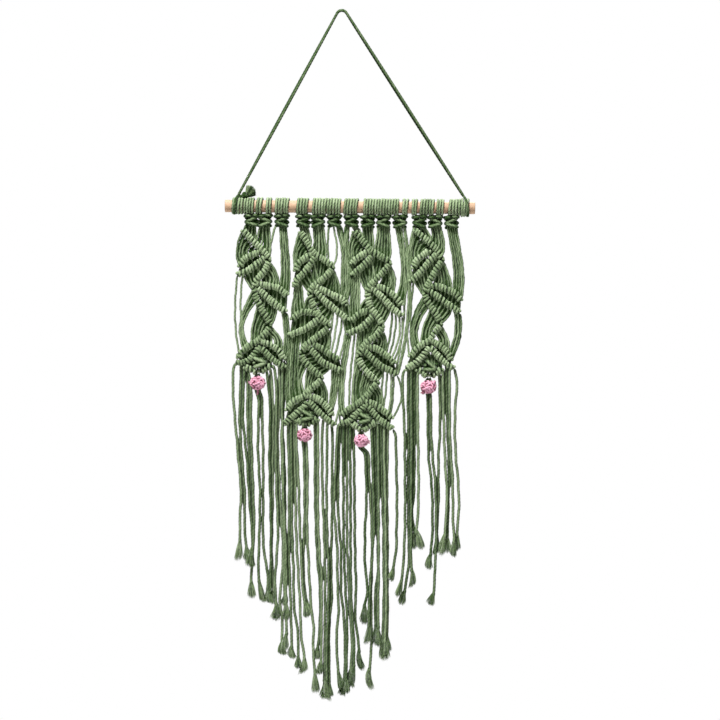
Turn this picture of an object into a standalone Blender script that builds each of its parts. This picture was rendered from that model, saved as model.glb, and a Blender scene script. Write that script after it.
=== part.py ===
# A macrame wall hanging: four knotted leaf vines on a wooden dowel, hung by a doubled cord.
# The vines are drawn on a knotting chart: steps of CELL across from the vine's own centre line,
# and down from the dowel's axis. Lengths elsewhere are metres. The origin is the point where
# the wall's pin holds the hanger, +Z is up and the front faces -Y.
import math
from collections import namedtuple

import bmesh
import bpy
from mathutils import Matrix, Vector

# Driving dimensions
CELL = 0.0012
CORD_RADIUS = 0.0016
STRAND_RADIUS = 0.0020
STRAND_SIDES = 3
TUFT_RADIUS = 0.0027
TUFT_LENGTH = 0.012
TUFT_CLEAR = 16
LEVEL_CLEAR = 0.008
TAIL_LAYER = 0.0020

DOWEL_LENGTH = 0.300
DOWEL_RADIUS = 0.0074
DOWEL_BEVEL = 0.0008
DOWEL_CENTRE_X = 0.0098
DOWEL_DROP = 0.2343
DOWEL_TILT = math.radians(0.46)
DOWEL_SIDES = 20

WRAP_WIDTH = 0.0032
WRAP_CREST = 0.0106
WRAP_VALLEY = 0.0098
WRAP_INNER = 0.00836
WRAP_SIDES = 8

KNOT_WIDTH = 0.0150
KNOT_TOP = 0.0095
KNOT_BOTTOM = 0.0235
KNOT_DEPTH = 0.0085
KNOT_CHAMFER = 0.0022

BAR_RADIUS = 0.0041
BAR_SIDES = 5
BAR_Y = -0.0014
BAR_VALLEY = 0.80
RIDGE_PITCH = 0.0092

LINK_Y = 0.0010
LINK_BEND_FROM = 0.020
LINK_SWAY = 0.0006
LINK_SPACING = 3.0
CENTRE_SPACING = 2.0
KEPT_SHARE = 0.58
CENTRE_KNOT_SIZE = (0.0140, 0.0080, 0.0125)

BERRY_SIZE = (0.0160, 0.0152, 0.0146)
BERRY_Y = 0.0004
BERRY_LUMP = 0.08
BERRY_BORE = (0.0092, 0.0088)
BERRY_STRAND_GAP = 1.6
BERRY_PASS = 6.6

HANGER_BEND = 0.0064
HANGER_SPREAD = 0.0038
HANGER_BESIDE = 0.38
HANGER_LEG_POINTS = 16
HANGER_BEND_POINTS = 8
LEFT_FOOT_X = -0.1254
RIGHT_FOOT_X = 0.1474
LEG_CLEAR = 0.0005
LEFT_TIE_TURNS = 4
RIGHT_TIE_TURNS = 2
RIGHT_TIE_CREST = 0.0114

# The knot and the brushed tuft on the left tie: along the dowel from the hanger's foot, above the
# dowel's axis, and how many times the cord's thickness it has there.
TiePoint = namedtuple("TiePoint", "along above thickness")
LEFT_TIE_KNOT = (
    TiePoint(0.0042, 0.0090, 1.2),
    TiePoint(0.0074, 0.0147, 1.9),
    TiePoint(0.0115, 0.0160, 1.5),
    TiePoint(0.0150, 0.0170, 2.4),
    TiePoint(0.0205, 0.0180, 3.2),
)

# Chart tables. A bar is one ridged cord course: its stations are (across, down).
Bar = namedtuple("Bar", "name stations")
# A link is a row of plain strands from one bar to another: along each bar it fans from a first
# to a last station, and bow pushes its middle sideways.
Link = namedtuple("Link", "start first last end to_first to_last count bow")
# A head is a mounting knot: its centre across, and the middles of its two wrap pairs.
Head = namedtuple("Head", "across wraps")
# A tail is a hanging end: its root on a bar, its place across at each of the LEVELS below the
# dowel that it reaches, and its cut end.
Tail = namedtuple("Tail", "root at across end_across end_down")
Vine = namedtuple("Vine", "name centre heads bars links tails knot berry")

LEVELS = (193, 233, 293, 353, 413)

VINE_1 = Vine(
    "vine_1",
    -82,
    [
        Head(-8, (-13, -8)),
        Head(5, (0, 9)),
        Head(22, (18.5, 25.5)),
    ],
    [
        Bar("stem", [(-17, 23), (-6, 35), (8, 50), (6, 62), (-4, 75), (-5, 86), (1, 101), (8, 113),
                     (9, 122), (-1, 133), (-11, 139), (-19, 146), (-21, 152)]),
        Bar("left_1_upper", [(-4, 45), (-12, 49), (-19, 54), (-20, 60)]),
        Bar("left_1_lower", [(-1, 53), (-8, 60), (-15, 64), (-23, 68)]),
        Bar("right_1_upper", [(0, 77), (9, 79), (18, 81), (28, 89)]),
        Bar("right_1_lower", [(0, 83), (8, 91), (16, 98), (26, 105)]),
        Bar("last_upper", [(3, 135), (11, 138), (19, 144), (24, 153)]),
        Bar("chevron", [(-25, 156), (-13, 154), (-6, 148), (0, 141), (6, 146), (12, 152), (19, 157),
                        (25, 161)]),
        Bar("v_left", [(-16, 159), (-10, 162), (-4, 165)]),
        Bar("v_right", [(13, 158), (7, 161), (1, 165)]),
    ],
    [
        Link("head_0", 0, 3, "stem", 0.3, 1.2, 3, 0),
        Link("head_1", 0, 3, "stem", 1.4, 2.1, 4, -1),
        Link("head_2", 0, 0, "stem", 2.2, 2.2, 1, -1),
        Link("head_2", 1, 3, "right_1_upper", 2.3, 2.9, 3, 1),
        Link("stem", 0.1, 1.0, "left_1_upper", 2.8, 1.2, 3, -2),
        Link("left_1_upper", 1.0, 2.4, "left_1_lower", 1.1, 2.5, 2, 0),
        Link("left_1_lower", 0.5, 1.9, "stem", 3.5, 4.7, 3, 0),
        Link("left_1_lower", 2.9, 2.3, "stem", 11.2, 10.7, 2, -1),
        Link("stem", 2.3, 3.1, "right_1_upper", 1.9, 0.9, 3, 3),
        Link("right_1_upper", 1.2, 2.9, "right_1_lower", 1.2, 2.8, 3, 0),
        Link("stem", 5.0, 5.3, "stem", 10.3, 9.8, 2, -5),
        Link("stem", 6.0, 7.2, "stem", 9.6, 8.9, 3, -2),
        Link("right_1_lower", 1.3, 2.0, "stem", 6.9, 7.5, 2, 1),
        Link("right_1_lower", 2.4, 2.9, "last_upper", 2.5, 2.9, 2, 1),
        Link("stem", 8.0, 8.4, "last_upper", 2.0, 1.2, 2, 4),
    ],
    [
        Tail("chevron", 0.0, (-26.5, -23, -19), -20, 353),
        Tail("chevron", 0.6, (-21, -19, -16.5), -15, 349),
        Tail("chevron", 1.0, (-17.5, -15.5, -13.5), -11.5, 359),
        Tail("chevron", 1.4, (-14, -12, -10.5), -10, 344),
        Tail("berry", -1, (-1.5, -1.5, -1, -1.5), -0.5, 395),
        Tail("berry", 1, (2.5, 3, 3, 4), 6, 396),
        Tail("v_right", 0.8, (10, 10, 10.5, 10), 10, 394),
        Tail("v_right", 0.1, (13, 13, 13.5, 13.5), 14, 392),
        Tail("chevron", 5.7, (16, 16, 17.5, 16.5), 17.5, 413),
        Tail("chevron", 6.3, (19, 19.2, 20.5, 21), 22.5, 410),
        Tail("chevron", 6.8, (21.5, 21.4, 23.2, 24), 24, 407),
    ],
    (0, 155.5),
    (-2.4, 176),
)

VINE_2 = Vine(
    "vine_2",
    -28,
    [
        Head(-10.5, (-14.3, -8.4)),
        Head(4, (1.5, 8.5)),
        Head(20.5, (16.5, 23.5)),
    ],
    [
        Bar("stem", [(-14, 24), (-7, 35), (0, 46), (9, 52), (18, 59), (16, 65), (8, 73), (-1, 80),
                     (-4, 88), (-1, 97), (5, 109), (14, 118), (12, 123), (-1, 133), (-10, 141),
                     (-12, 148), (-8, 156), (0, 164), (7, 170), (5, 175), (-3, 182), (-10, 189),
                     (-21, 195), (-27, 204)]),
        Bar("left_1_upper", [(-5, 49), (-11, 53), (-16, 58), (-18, 65)]),
        Bar("left_1_lower", [(-1, 53), (-6, 61), (-12, 68), (-17, 73), (-19, 80)]),
        Bar("right_1_upper", [(5, 81), (13, 85), (21, 89), (29, 93), (31, 99)]),
        Bar("right_1_lower", [(3, 85), (10, 93), (17, 99), (24, 105), (30, 110)]),
        Bar("left_2_upper", [(2, 106), (-6, 105), (-14, 106), (-22, 113)]),
        Bar("left_2_lower", [(2, 114), (-4, 119), (-11, 123), (-19, 126), (-25, 129)]),
        Bar("right_2_upper", [(1, 138), (7, 141), (14, 146), (23, 152)]),
        Bar("right_2_lower", [(-3, 142), (2, 148), (7, 154), (14, 158), (21, 161), (26, 164)]),
        Bar("last_upper", [(-4, 189), (4, 192), (11, 198), (16, 204), (18, 209)]),
        Bar("chevron", [(-30, 217), (-24, 212), (-17, 206), (-10, 200), (-5, 195), (1, 201), (7, 207),
                        (14, 213), (21, 218)]),
        Bar("v_left", [(-18, 212), (-14, 215), (-10, 217)]),
        Bar("v_right", [(5, 211), (0, 214), (-6, 217)]),
    ],
    [
        Link("head_0", 0, 3, "stem", 0.3, 1.4, 3, 0),
        Link("head_1", 0, 3, "stem", 1.8, 3.0, 4, 1),
        Link("head_2", 0, 1, "stem", 3.6, 4.0, 2, 1),
        Link("head_2", 2, 3, "right_1_upper", 2.9, 3.3, 2, 1),
        Link("stem", 0.1, 1.2, "left_1_upper", 2.8, 1.0, 3, -2),
        Link("left_1_upper", 0.9, 2.4, "left_1_lower", 1.2, 2.8, 2, 0),
        Link("left_1_lower", 0.8, 2.3, "stem", 5.9, 7.6, 3, 0),
        Link("stem", 2.7, 3.6, "stem", 6.3, 5.4, 2, 1),
        Link("stem", 4.4, 5.2, "right_1_upper", 2.4, 1.0, 3, 2),
        Link("right_1_upper", 1.0, 3.6, "right_1_lower", 1.2, 3.5, 3, 0),
        Link("left_1_lower", 3.8, 3.0, "left_2_upper", 2.8, 1.9, 3, 0),
        Link("stem", 8.8, 9.2, "left_2_upper", 0.9, 0.5, 2, -1),
        Link("right_1_lower", 1.4, 2.2, "stem", 10.3, 10.9, 2, 1),
        Link("left_2_upper", 0.8, 2.6, "left_2_lower", 1.0, 3.0, 3, 0),
        Link("left_2_lower", 0.7, 2.2, "stem", 12.5, 13.8, 3, 0),
        Link("stem", 12.2, 12.7, "right_2_upper", 1.7, 1.1, 2, 2),
        Link("right_1_lower", 3.0, 3.8, "right_2_upper", 2.4, 2.9, 2, 0),
        Link("right_2_upper", 1.0, 2.8, "right_2_lower", 1.9, 4.3, 3, 0),
        Link("left_2_lower", 3.8, 2.6, "stem", 22.6, 21.7, 5, 0),
        Link("stem", 15.0, 16.2, "stem", 21.3, 20.8, 3, -3),
        Link("stem", 16.8, 17.4, "stem", 20.4, 19.8, 2, 0),
        Link("right_2_lower", 2.6, 3.2, "stem", 17.3, 17.8, 2, 1),
        Link("right_2_lower", 4.0, 4.8, "last_upper", 3.1, 3.9, 2, -1),
        Link("stem", 18.9, 19.6, "last_upper", 1.9, 0.9, 2, 2),
    ],
    [
        Tail("chevron", 0.0, (-31, -31.2, -30.5, -28.5), -26, 411),
        Tail("chevron", 1.0, (-25.5, -25.5, -25.5, -25.5, -23), -27.5, 447),
        Tail("chevron", 1.6, (-22.5, -22.3, -22, -22, -20.5), -22, 450),
        Tail("chevron", 2.1, (-19.5, -19, -18.7, -18.5, -17.3), -16.5, 460),
        Tail("v_left", 0.1, (-18.5, -18.5, -15.8, -15, -14.2), -12.5, 449),
        Tail("berry", -1, (-11, -11, -10, -11.5, -11), -9.5, 464),
        Tail("berry", 1, (-7.4, -7.2, -6.6, -5.5, -3), 2.5, 484),
        Tail("v_right", 0.4, (2, 0.8, 1.5, 3, 5.5), 2, 451),
        Tail("chevron", 6.4, (4.5, 4.4, 4.6, 6.3, 8.6), 6.5, 465),
        Tail("chevron", 6.9, (8.4, 8.4, 8.7, 9.6, 11.8), 11, 492),
        Tail("chevron", 7.4, (11.8, 11.8, 12.3, 13, 15.6), 14.5, 490),
        Tail("chevron", 7.9, (15.3, 15.3, 16.3, 16.5, 19), 18.5, 455),
    ],
    (-6.5, 209),
    (-9.3, 228),
)

VINE_3 = Vine(
    "vine_3",
    30,
    [
        Head(-20.3, (-24.5, -17.5)),
        Head(-3.9, (-5.5, 1.2)),
        Head(11.6, (8, 15.5)),
        Head(28, (23.7, 33.3)),
    ],
    [
        Bar("stem", [(-18, 24), (-10, 33), (-2, 43), (8, 49), (17, 55), (14, 62), (6, 71), (-3, 81),
                     (-4, 90), (-1, 101), (6, 110), (10, 119), (6, 127), (-4, 135), (-11, 144),
                     (-13, 151), (-9, 160), (-2, 168), (5, 175), (0, 182), (-6, 190), (-16, 198),
                     (-23, 202), (-30, 208)]),
        Bar("left_1_upper", [(-5, 45), (-11, 49), (-17, 53), (-20, 58)]),
        Bar("left_1_lower", [(-2, 51), (-6, 56), (-11, 61), (-16, 65), (-20, 69)]),
        Bar("right_1_upper", [(7, 80), (13, 82), (19, 86), (24, 90), (30, 99)]),
        Bar("right_1_lower", [(2, 83), (8, 88), (13, 93), (19, 100), (25, 105), (30, 109)]),
        Bar("left_2_upper", [(-3, 104), (-9, 105), (-14, 109), (-19, 113)]),
        Bar("left_2_lower", [(-1, 111), (-6, 117), (-11, 121), (-17, 124), (-23, 127)]),
        Bar("right_2_upper", [(-2, 140), (5, 142), (12, 147), (18, 151), (23, 157)]),
        Bar("right_2_lower", [(-7, 144), (-2, 149), (4, 155), (10, 160), (17, 163), (25, 168)]),
        Bar("last_upper", [(-4, 195), (2, 197), (9, 202), (16, 207), (20, 212)]),
        Bar("chevron", [(-31, 216), (-24, 215), (-17, 208), (-10, 202), (-5, 198), (1, 205), (7, 212),
                        (14, 217), (21, 222)]),
        Bar("v_left", [(-20, 216), (-16, 219), (-12, 222)]),
        Bar("v_right", [(5, 214), (-1, 218), (-8, 222.5)]),
    ],
    [
        Link("head_0", 0, 1, "left_1_lower", 3.9, 3.3, 2, -2),
        Link("head_0", 2, 3, "stem", 0.2, 0.6, 2, 0),
        Link("head_1", 0, 3, "stem", 0.9, 2.2, 4, -1),
        Link("head_2", 0, 3, "stem", 2.6, 3.9, 4, 0),
        Link("head_3", 0, 1, "right_1_upper", 3.2, 3.6, 2, 3),
        Link("head_3", 2, 3, "right_2_upper", 3.3, 3.8, 2, 5),
        Link("stem", 0.1, 1.2, "left_1_upper", 2.8, 1.0, 3, -2),
        Link("left_1_upper", 0.9, 2.4, "left_1_lower", 1.2, 2.8, 2, 0),
        Link("left_1_lower", 0.8, 2.3, "stem", 5.9, 7.4, 3, 0),
        Link("stem", 2.7, 3.6, "stem", 6.3, 5.4, 2, 1),
        Link("stem", 4.4, 5.2, "right_1_upper", 1.6, 0.8, 2, 3),
        Link("right_1_upper", 1.0, 3.2, "right_1_lower", 1.2, 3.9, 3, 0),
        Link("left_1_lower", 3.9, 3.0, "left_2_upper", 2.9, 2.0, 3, 0),
        Link("stem", 8.6, 9.0, "left_2_upper", 0.9, 0.5, 2, -1),
        Link("right_1_lower", 1.6, 2.4, "stem", 9.7, 10.5, 2, 1),
        Link("left_2_upper", 0.8, 2.5, "left_2_lower", 1.0, 3.0, 3, 0),
        Link("left_2_lower", 0.7, 2.4, "stem", 12.4, 13.9, 3, 0),
        Link("stem", 11.9, 12.4, "right_2_upper", 1.8, 1.0, 2, 4),
        Link("right_1_lower", 3.6, 4.7, "right_2_upper", 2.7, 3.0, 2, 1),
        Link("right_2_upper", 1.0, 3.2, "right_2_lower", 1.9, 4.2, 3, 0),
        Link("left_2_lower", 3.8, 3.0, "stem", 23.0, 22.2, 3, 0),
        Link("left_2_lower", 2.7, 2.4, "stem", 21.8, 21.4, 2, 1),
        Link("stem", 15.4, 16.4, "stem", 21.0, 20.5, 3, -3),
        Link("stem", 16.9, 17.4, "stem", 20.2, 19.8, 2, -1),
        Link("right_2_lower", 2.4, 3.2, "stem", 17.4, 17.9, 2, 1),
        Link("right_2_lower", 3.8, 4.9, "last_upper", 2.7, 3.8, 3, 1),
        Link("stem", 18.8, 19.2, "last_upper", 1.8, 1.2, 1, 3),
    ],
    [
        Tail("chevron", 0.0, (-35.5, -35.5, -37.2, -38, -34.5), -33.5, 481),
        Tail("chevron", 0.7, (-32.4, -32.4, -33.8, -34, -31), -30.4, 487),
        Tail("chevron", 1.0, (-29.2, -29.2, -30, -29.5, -27.3), -28.5, 476),
        Tail("chevron", 1.3, (-26.2, -26.2, -26.2, -25.6, -24.3), -25, 482),
        Tail("chevron", 1.6, (-23.2, -23.2, -22.4, -21.8, -20.5), -20.5, 478),
        Tail("v_left", 0.0, (-20.2, -20.2, -18, -17, -17.5), -12, 464),
        Tail("berry", -1, (-12, -11.5, -7.8, -7.6, -9.5), -10.5, 418),
        Tail("berry", 1, (-8, -7, -3, -0.6, -1), -5, 481),
        Tail("v_right", 1.0, (-1, -0.6, 0.5, 2.6, -4), -4, 436),
        Tail("v_right", 0.4, (2.5, 2.8, 3.6, 5.8, 3), 4, 437),
        Tail("chevron", 6.6, (6, 6, 6.8, 9, 7), 10.5, 452),
        Tail("chevron", 7.1, (9.3, 9.5, 10.2, 12, 11), 10, 432),
        Tail("chevron", 7.5, (12.5, 12.6, 13.4, 15.2, 14.8), 14, 447),
        Tail("chevron", 7.8, (15.6, 15.6, 16.6, 18.4), 17.5, 405),
        Tail("chevron", 8.0, (23, 23, 24.6, 24.2), 20, 374),
    ],
    (-7, 211.5),
    (-10.6, 233.6),
)

VINE_4 = Vine(
    "vine_4",
    92,
    [
        Head(-14.2, (-19.5, -10.5)),
        Head(1.3, (-2.8, 6.1)),
        Head(17.6, (16.2, 22.6)),
    ],
    [
        Bar("stem", [(-20, 22), (-12, 29), (-3, 37), (4, 45), (8, 53), (4, 60), (-2, 71), (-8, 83),
                     (-8, 91), (-3, 100), (3, 109), (6, 118), (1, 125), (-4, 133), (-14, 139),
                     (-20, 145), (-24, 151)]),
        Bar("left_1_upper", [(-8, 46), (-13, 50), (-18, 55), (-20, 62)]),
        Bar("left_1_lower", [(1, 49), (-4, 54), (-9, 60), (-14, 66), (-19, 71), (-23, 75)]),
        Bar("right_1_upper", [(-3, 79), (2, 79), (9, 81), (16, 84), (22, 87), (27, 94)]),
        Bar("right_1_lower", [(-4, 84), (0, 87), (6, 91), (12, 96), (18, 100), (26, 106)]),
        Bar("last_upper", [(0, 135), (5, 138), (10, 142), (15, 148), (17, 154)]),
        Bar("chevron", [(-29, 162), (-23, 159), (-17, 155), (-11, 149), (-4, 141), (3, 148), (8, 153),
                        (14, 158), (20, 161)]),
        Bar("v_left", [(-17, 162), (-12, 165), (-7, 169)]),
        Bar("v_right", [(9, 161), (4, 165), (-2, 169)]),
    ],
    [
        Link("head_0", 0, 3, "stem", 0.4, 1.6, 3, 1),
        Link("head_1", 0, 3, "stem", 2.0, 3.5, 4, 1),
        Link("head_2", 0, 3, "right_1_upper", 4.0, 4.8, 3, 1),
        Link("stem", 0.1, 1.4, "left_1_upper", 2.8, 1.0, 3, -2),
        Link("left_1_upper", 0.9, 2.6, "left_1_lower", 2.0, 3.8, 2, 0),
        Link("left_1_lower", 1.0, 3.2, "stem", 5.3, 7.2, 3, 0),
        Link("left_1_lower", 4.8, 4.2, "stem", 15.8, 15.2, 2, 1),
        Link("stem", 4.2, 5.0, "right_1_upper", 2.8, 1.4, 3, 2),
        Link("right_1_upper", 1.6, 4.6, "right_1_lower", 1.7, 4.6, 3, 0),
        Link("stem", 8.2, 8.8, "stem", 14.6, 14.0, 3, -5),
        Link("stem", 9.2, 10.4, "stem", 13.6, 12.8, 3, -2),
        Link("right_1_lower", 2.4, 3.4, "stem", 9.6, 10.4, 2, 1),
        Link("right_1_lower", 4.3, 4.9, "last_upper", 3.0, 3.8, 2, 2),
        Link("stem", 11.4, 11.9, "last_upper", 2.5, 1.6, 2, 4),
    ],
    [
        Tail("chevron", 0.0, (-31, -29, -29, -29.5), -36, 389),
        Tail("chevron", 0.9, (-26, -25.8, -25.8, -26), -31.5, 397),
        Tail("chevron", 1.5, (-23, -22.8, -22.8, -23), -20.5, 379),
        Tail("chevron", 2.0, (-19.8, -19.8, -20), -20, 342),
        Tail("v_left", 0.4, (-16.5, -16, -15.5), -15.5, 343),
        Tail("berry", -1, (-6.6, -5.8, -3.5, -3.5), -5, 360),
        Tail("berry", 1, (-3.2, -2.2, 1.2, 1.8), -2.5, 396),
        Tail("v_right", 0.3, (7, 6, 5), 3, 350),
        Tail("chevron", 6.6, (10.5, 10.8, 12.6), 8, 347),
        Tail("chevron", 7.1, (13.7, 14, 15.6), 12, 341),
        Tail("chevron", 7.6, (17, 17.2, 19), 18, 348),
        Tail("chevron", 8.0, (21.5, 21.5, 24.2), 22, 345),
    ],
    (-3.5, 160),
    (-5.3, 179.8),
)

VINES = (VINE_1, VINE_2, VINE_3, VINE_4)

# Short rows that every vine's last leaf shares; a minus station counts back from the bar's end.
LAST_LEAF_LINKS = (
    Link("stem", -3.0, -0.6, "chevron", 2.0, 0.7, 3, 0),
    Link("last_upper", 0.9, -0.5, "chevron", -3.0, -1.0, 3, 0),
    Link("chevron", 1.1, 1.9, "v_left", 0.3, 1.2, 2, 0),
    Link("chevron", -2.4, -3.2, "v_right", 0.3, 1.2, 2, 0),
    Link("chevron", 2.6, -4.3, "centre", 0, 3, 2, 0),
    Link("centre", 0, 3, "v_left", 1.6, 1.9, 1, 0),
    Link("centre", 3, 0, "v_right", 1.6, 1.9, 1, 0),
)


def material(name, colour, roughness):
    made = bpy.data.materials.new(name)
    made.use_nodes = True
    shader = made.node_tree.nodes["Principled BSDF"]
    shader.inputs["Base Color"].default_value = (*colour, 1.0)
    shader.inputs["Roughness"].default_value = roughness
    shader.inputs["Metallic"].default_value = 0.0
    return made


def add_object(name, data, finish):
    made = bpy.data.objects.new(name, data)
    bpy.context.scene.collection.objects.link(made)
    if finish is not None:
        data.materials.append(finish)
    return made


def add_helper(name, data):
    helper = add_object(name, data, None)
    helper.hide_render = True
    helper.display_type = "WIRE"
    return helper


def dowel_z(x):
    return -DOWEL_DROP - (x - DOWEL_CENTRE_X) * math.tan(DOWEL_TILT)


def chart_point(vine, across, down, y):
    x = (vine.centre + across) * CELL
    return Vector((x, y, -DOWEL_DROP - down * CELL))


# A smooth course through its stations, and the point at any station number on it.
def course_at(points, station):
    last = len(points) - 1
    if station < 0:
        station += last
    i = min(int(station), last - 1)
    t = station - i
    p1, p2 = points[i], points[i + 1]
    p0 = points[i - 1] if i > 0 else p1 * 2 - p2
    p3 = points[i + 2] if i + 2 <= last else p2 * 2 - p1
    return 0.5 * (2 * p1 + (p2 - p0) * t + (2 * p0 - 5 * p1 + 4 * p2 - p3) * t * t
                  + (3 * p1 - p0 - 3 * p2 + p3) * t ** 3)


def even_points(points, pitch):
    fine = [course_at(points, k / 12) for k in range(12 * (len(points) - 1) + 1)]
    reach = [0.0]
    for a, b in zip(fine, fine[1:]):
        reach.append(reach[-1] + (b - a).length)
    count = max(2, round(reach[-1] / pitch))
    placed, k = [fine[0]], 0
    for step in range(1, count):
        want = reach[-1] * step / count
        while reach[k + 1] < want:
            k += 1
        placed.append(fine[k].lerp(fine[k + 1], (want - reach[k]) / (reach[k + 1] - reach[k])))
    return placed + [fine[-1]]


# The outline that a tube is drawn along its course with.
def tube_outline(name, radius, sides):
    curve = bpy.data.curves.new(name, "CURVE")
    spline = curve.splines.new("POLY")
    spline.points.add(sides - 1)
    for k, point in enumerate(spline.points):
        turn = 2 * math.pi * (k + 0.25) / sides
        point.co = (radius * math.cos(turn), radius * math.sin(turn), 0, 1)
    spline.use_cyclic_u = True
    return add_helper(name, curve)


# A closed mesh of capped tubes: each course is a list of points with a radius factor each.
def tube_mesh(name, courses, outline):
    curve = bpy.data.curves.new(name, "CURVE")
    curve.dimensions = "3D"
    curve.bevel_mode = "OBJECT"
    curve.bevel_object = outline
    curve.use_fill_caps = True
    for course in courses:
        spline = curve.splines.new("POLY")
        spline.points.add(len(course) - 1)
        for point, (place, size) in zip(spline.points, course):
            point.co = (*place, 1)
            point.radius = size
    holder = add_helper(name, curve)
    shaped = holder.evaluated_get(bpy.context.evaluated_depsgraph_get())
    mesh = bpy.data.meshes.new_from_object(shaped)
    bpy.data.objects.remove(holder)
    bm = bmesh.new()
    bm.from_mesh(mesh)
    bmesh.ops.remove_doubles(bm, verts=bm.verts, dist=1e-7)
    bmesh.ops.recalc_face_normals(bm, faces=bm.faces)
    bm.to_mesh(mesh)
    bm.free()
    return mesh


# A bar's points stand a half ridge apart, thick and thin by turns.
def ridged(points):
    placed = even_points(points, RIDGE_PITCH / 2)
    return [(p, 1.0 if k % 2 else BAR_VALLEY) for k, p in enumerate(placed)]


def plain(points):
    return [(p, 1.0) for p in points]


# Where a link's strand k of count meets the piece it starts or ends on.
def anchor(vine, bars, name, first, last, k, count):
    share = k / (count - 1) if count > 1 else 0.0
    station = first + (last - first) * share
    if name.startswith("head_"):
        across = vine.heads[int(name[5:])].across + (station - 1.5) * LINK_SPACING
        return chart_point(vine, across, (KNOT_BOTTOM - STRAND_RADIUS) / CELL, LINK_Y)
    if name == "centre":
        return chart_point(vine, vine.knot[0] + (station - 1.5) * CENTRE_SPACING, vine.knot[1], LINK_Y)
    return course_at(bars[name], station) + Vector((0, LINK_Y - BAR_Y, 0))


def link_courses(vine, bars):
    courses = []
    for link in (*vine.links, *LAST_LEAF_LINKS):
        for k in range(link.count):
            top = anchor(vine, bars, link.start, link.first, link.last, k, link.count)
            foot = anchor(vine, bars, link.end, link.to_first, link.to_last, k, link.count)
            sway = LINK_SWAY if k % 2 else -LINK_SWAY
            middle = (top + foot) / 2 + Vector((link.bow * CELL, sway, 0))
            short = (top - foot).length < LINK_BEND_FROM
            courses.append(plain([top, foot] if short else [top, middle, foot]))
    return courses


def tail_courses(vine, bars):
    courses = []
    for k, tail in enumerate(vine.tails):
        behind = (k + len(vine.tails)) % 2
        y = LINK_Y + (TAIL_LAYER if behind else -TAIL_LAYER)
        if tail.root == "berry":
            v_end = bars["v_left" if tail.at < 0 else "v_right"][-1]
            across = vine.berry[0] + tail.at * BERRY_STRAND_GAP
            root = Vector((v_end.x, LINK_Y, v_end.z))
            stations = [root]
            for step in (-BERRY_PASS, BERRY_PASS):
                stations.append(chart_point(vine, across, vine.berry[1] + step, LINK_Y))
        else:
            root = course_at(bars[tail.root], tail.at) + Vector((0, LINK_Y - BAR_Y, 0))
            stations = [root]
        for level, across in zip(LEVELS, tail.across):
            place = chart_point(vine, across, level, y)
            if place.z < stations[-1].z - LEVEL_CLEAR and level < tail.end_down - TUFT_CLEAR:
                stations.append(place)
        end = chart_point(vine, tail.end_across, tail.end_down, y)
        way = (end - stations[-1]).normalized()
        stations.append(end - way * TUFT_LENGTH)
        course = plain(stations)
        course.append((end, TUFT_RADIUS / STRAND_RADIUS))
        courses.append(course)
    return courses


# A cord's turns round the dowel, side by side: one ridge turned round the dowel's axis.
def wrap_ring(bm, x, count, crest):
    half = count * WRAP_WIDTH / 2
    outline = [
        Vector((-half, 0, WRAP_INNER)),
        Vector((-half, 0, WRAP_VALLEY)),
        Vector((0, 0, crest)),
        Vector((half, 0, WRAP_VALLEY)),
        Vector((half, 0, WRAP_INNER)),
    ]
    centre = Vector((x, 0, dowel_z(x)))
    verts = [bm.verts.new(p + centre) for p in outline]
    edges = [bm.edges.new(pair) for pair in zip(verts, verts[1:] + verts[:1])]
    bmesh.ops.spin(bm, geom=verts + edges, cent=centre, axis=(1, 0, 0), angle=2 * math.pi,
                   steps=WRAP_SIDES, use_merge=True)


# A knot seen as a plain block with its edges taken off.
def block(bm, centre, size):
    shape = Matrix.Translation(centre) @ Matrix.Diagonal((*size, 1.0))
    made = bmesh.ops.create_cube(bm, size=1.0, matrix=shape)["verts"]
    edges = list({e for v in made for e in v.link_edges})
    bmesh.ops.bevel(bm, geom=edges, offset=KNOT_CHAMFER, affect="EDGES", segments=1, profile=0.5,
                    material=-1)


def head_mesh(vine):
    bm = bmesh.new()
    for head in vine.heads:
        for across in head.wraps:
            x = (vine.centre + across) * CELL
            wrap_ring(bm, x, 2, WRAP_CREST)
        x = (vine.centre + head.across) * CELL
        middle = (KNOT_TOP + KNOT_BOTTOM) / 2
        block(bm, Vector((x, 0, dowel_z(x) - middle)),
              (KNOT_WIDTH, KNOT_DEPTH, KNOT_BOTTOM - KNOT_TOP))
    place = chart_point(vine, *vine.knot, BAR_Y)
    block(bm, place, CENTRE_KNOT_SIZE)
    bmesh.ops.recalc_face_normals(bm, faces=bm.faces)
    mesh = bpy.data.meshes.new(vine.name + "_heads")
    bm.to_mesh(mesh)
    bm.free()
    return mesh


def add_vine(vine, bar_outline, strand_outline, finish):
    bars = {
        bar.name: [chart_point(vine, across, down, BAR_Y) for across, down in bar.stations]
        for bar in vine.bars
    }
    courses = [ridged(points) for points in bars.values()]
    panel = add_object(vine.name, tube_mesh(vine.name, courses, bar_outline), finish)
    strands = link_courses(vine, bars) + tail_courses(vine, bars)
    group = bpy.data.collections.new(vine.name + "_helpers")
    for helper in (
        add_helper(vine.name + "_strands",
                   tube_mesh(vine.name + "_strands", strands, strand_outline)),
        add_helper(vine.name + "_heads", head_mesh(vine)),
    ):
        group.objects.link(helper)
    union = panel.modifiers.new("fuse", "BOOLEAN")
    union.operation = "UNION"
    union.operand_type = "COLLECTION"
    union.collection = group
    union.solver = "EXACT"
    union.use_self = True
    thin = panel.modifiers.new("thin", "DECIMATE")
    thin.decimate_type = "COLLAPSE"
    thin.ratio = KEPT_SHARE
    return panel


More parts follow.
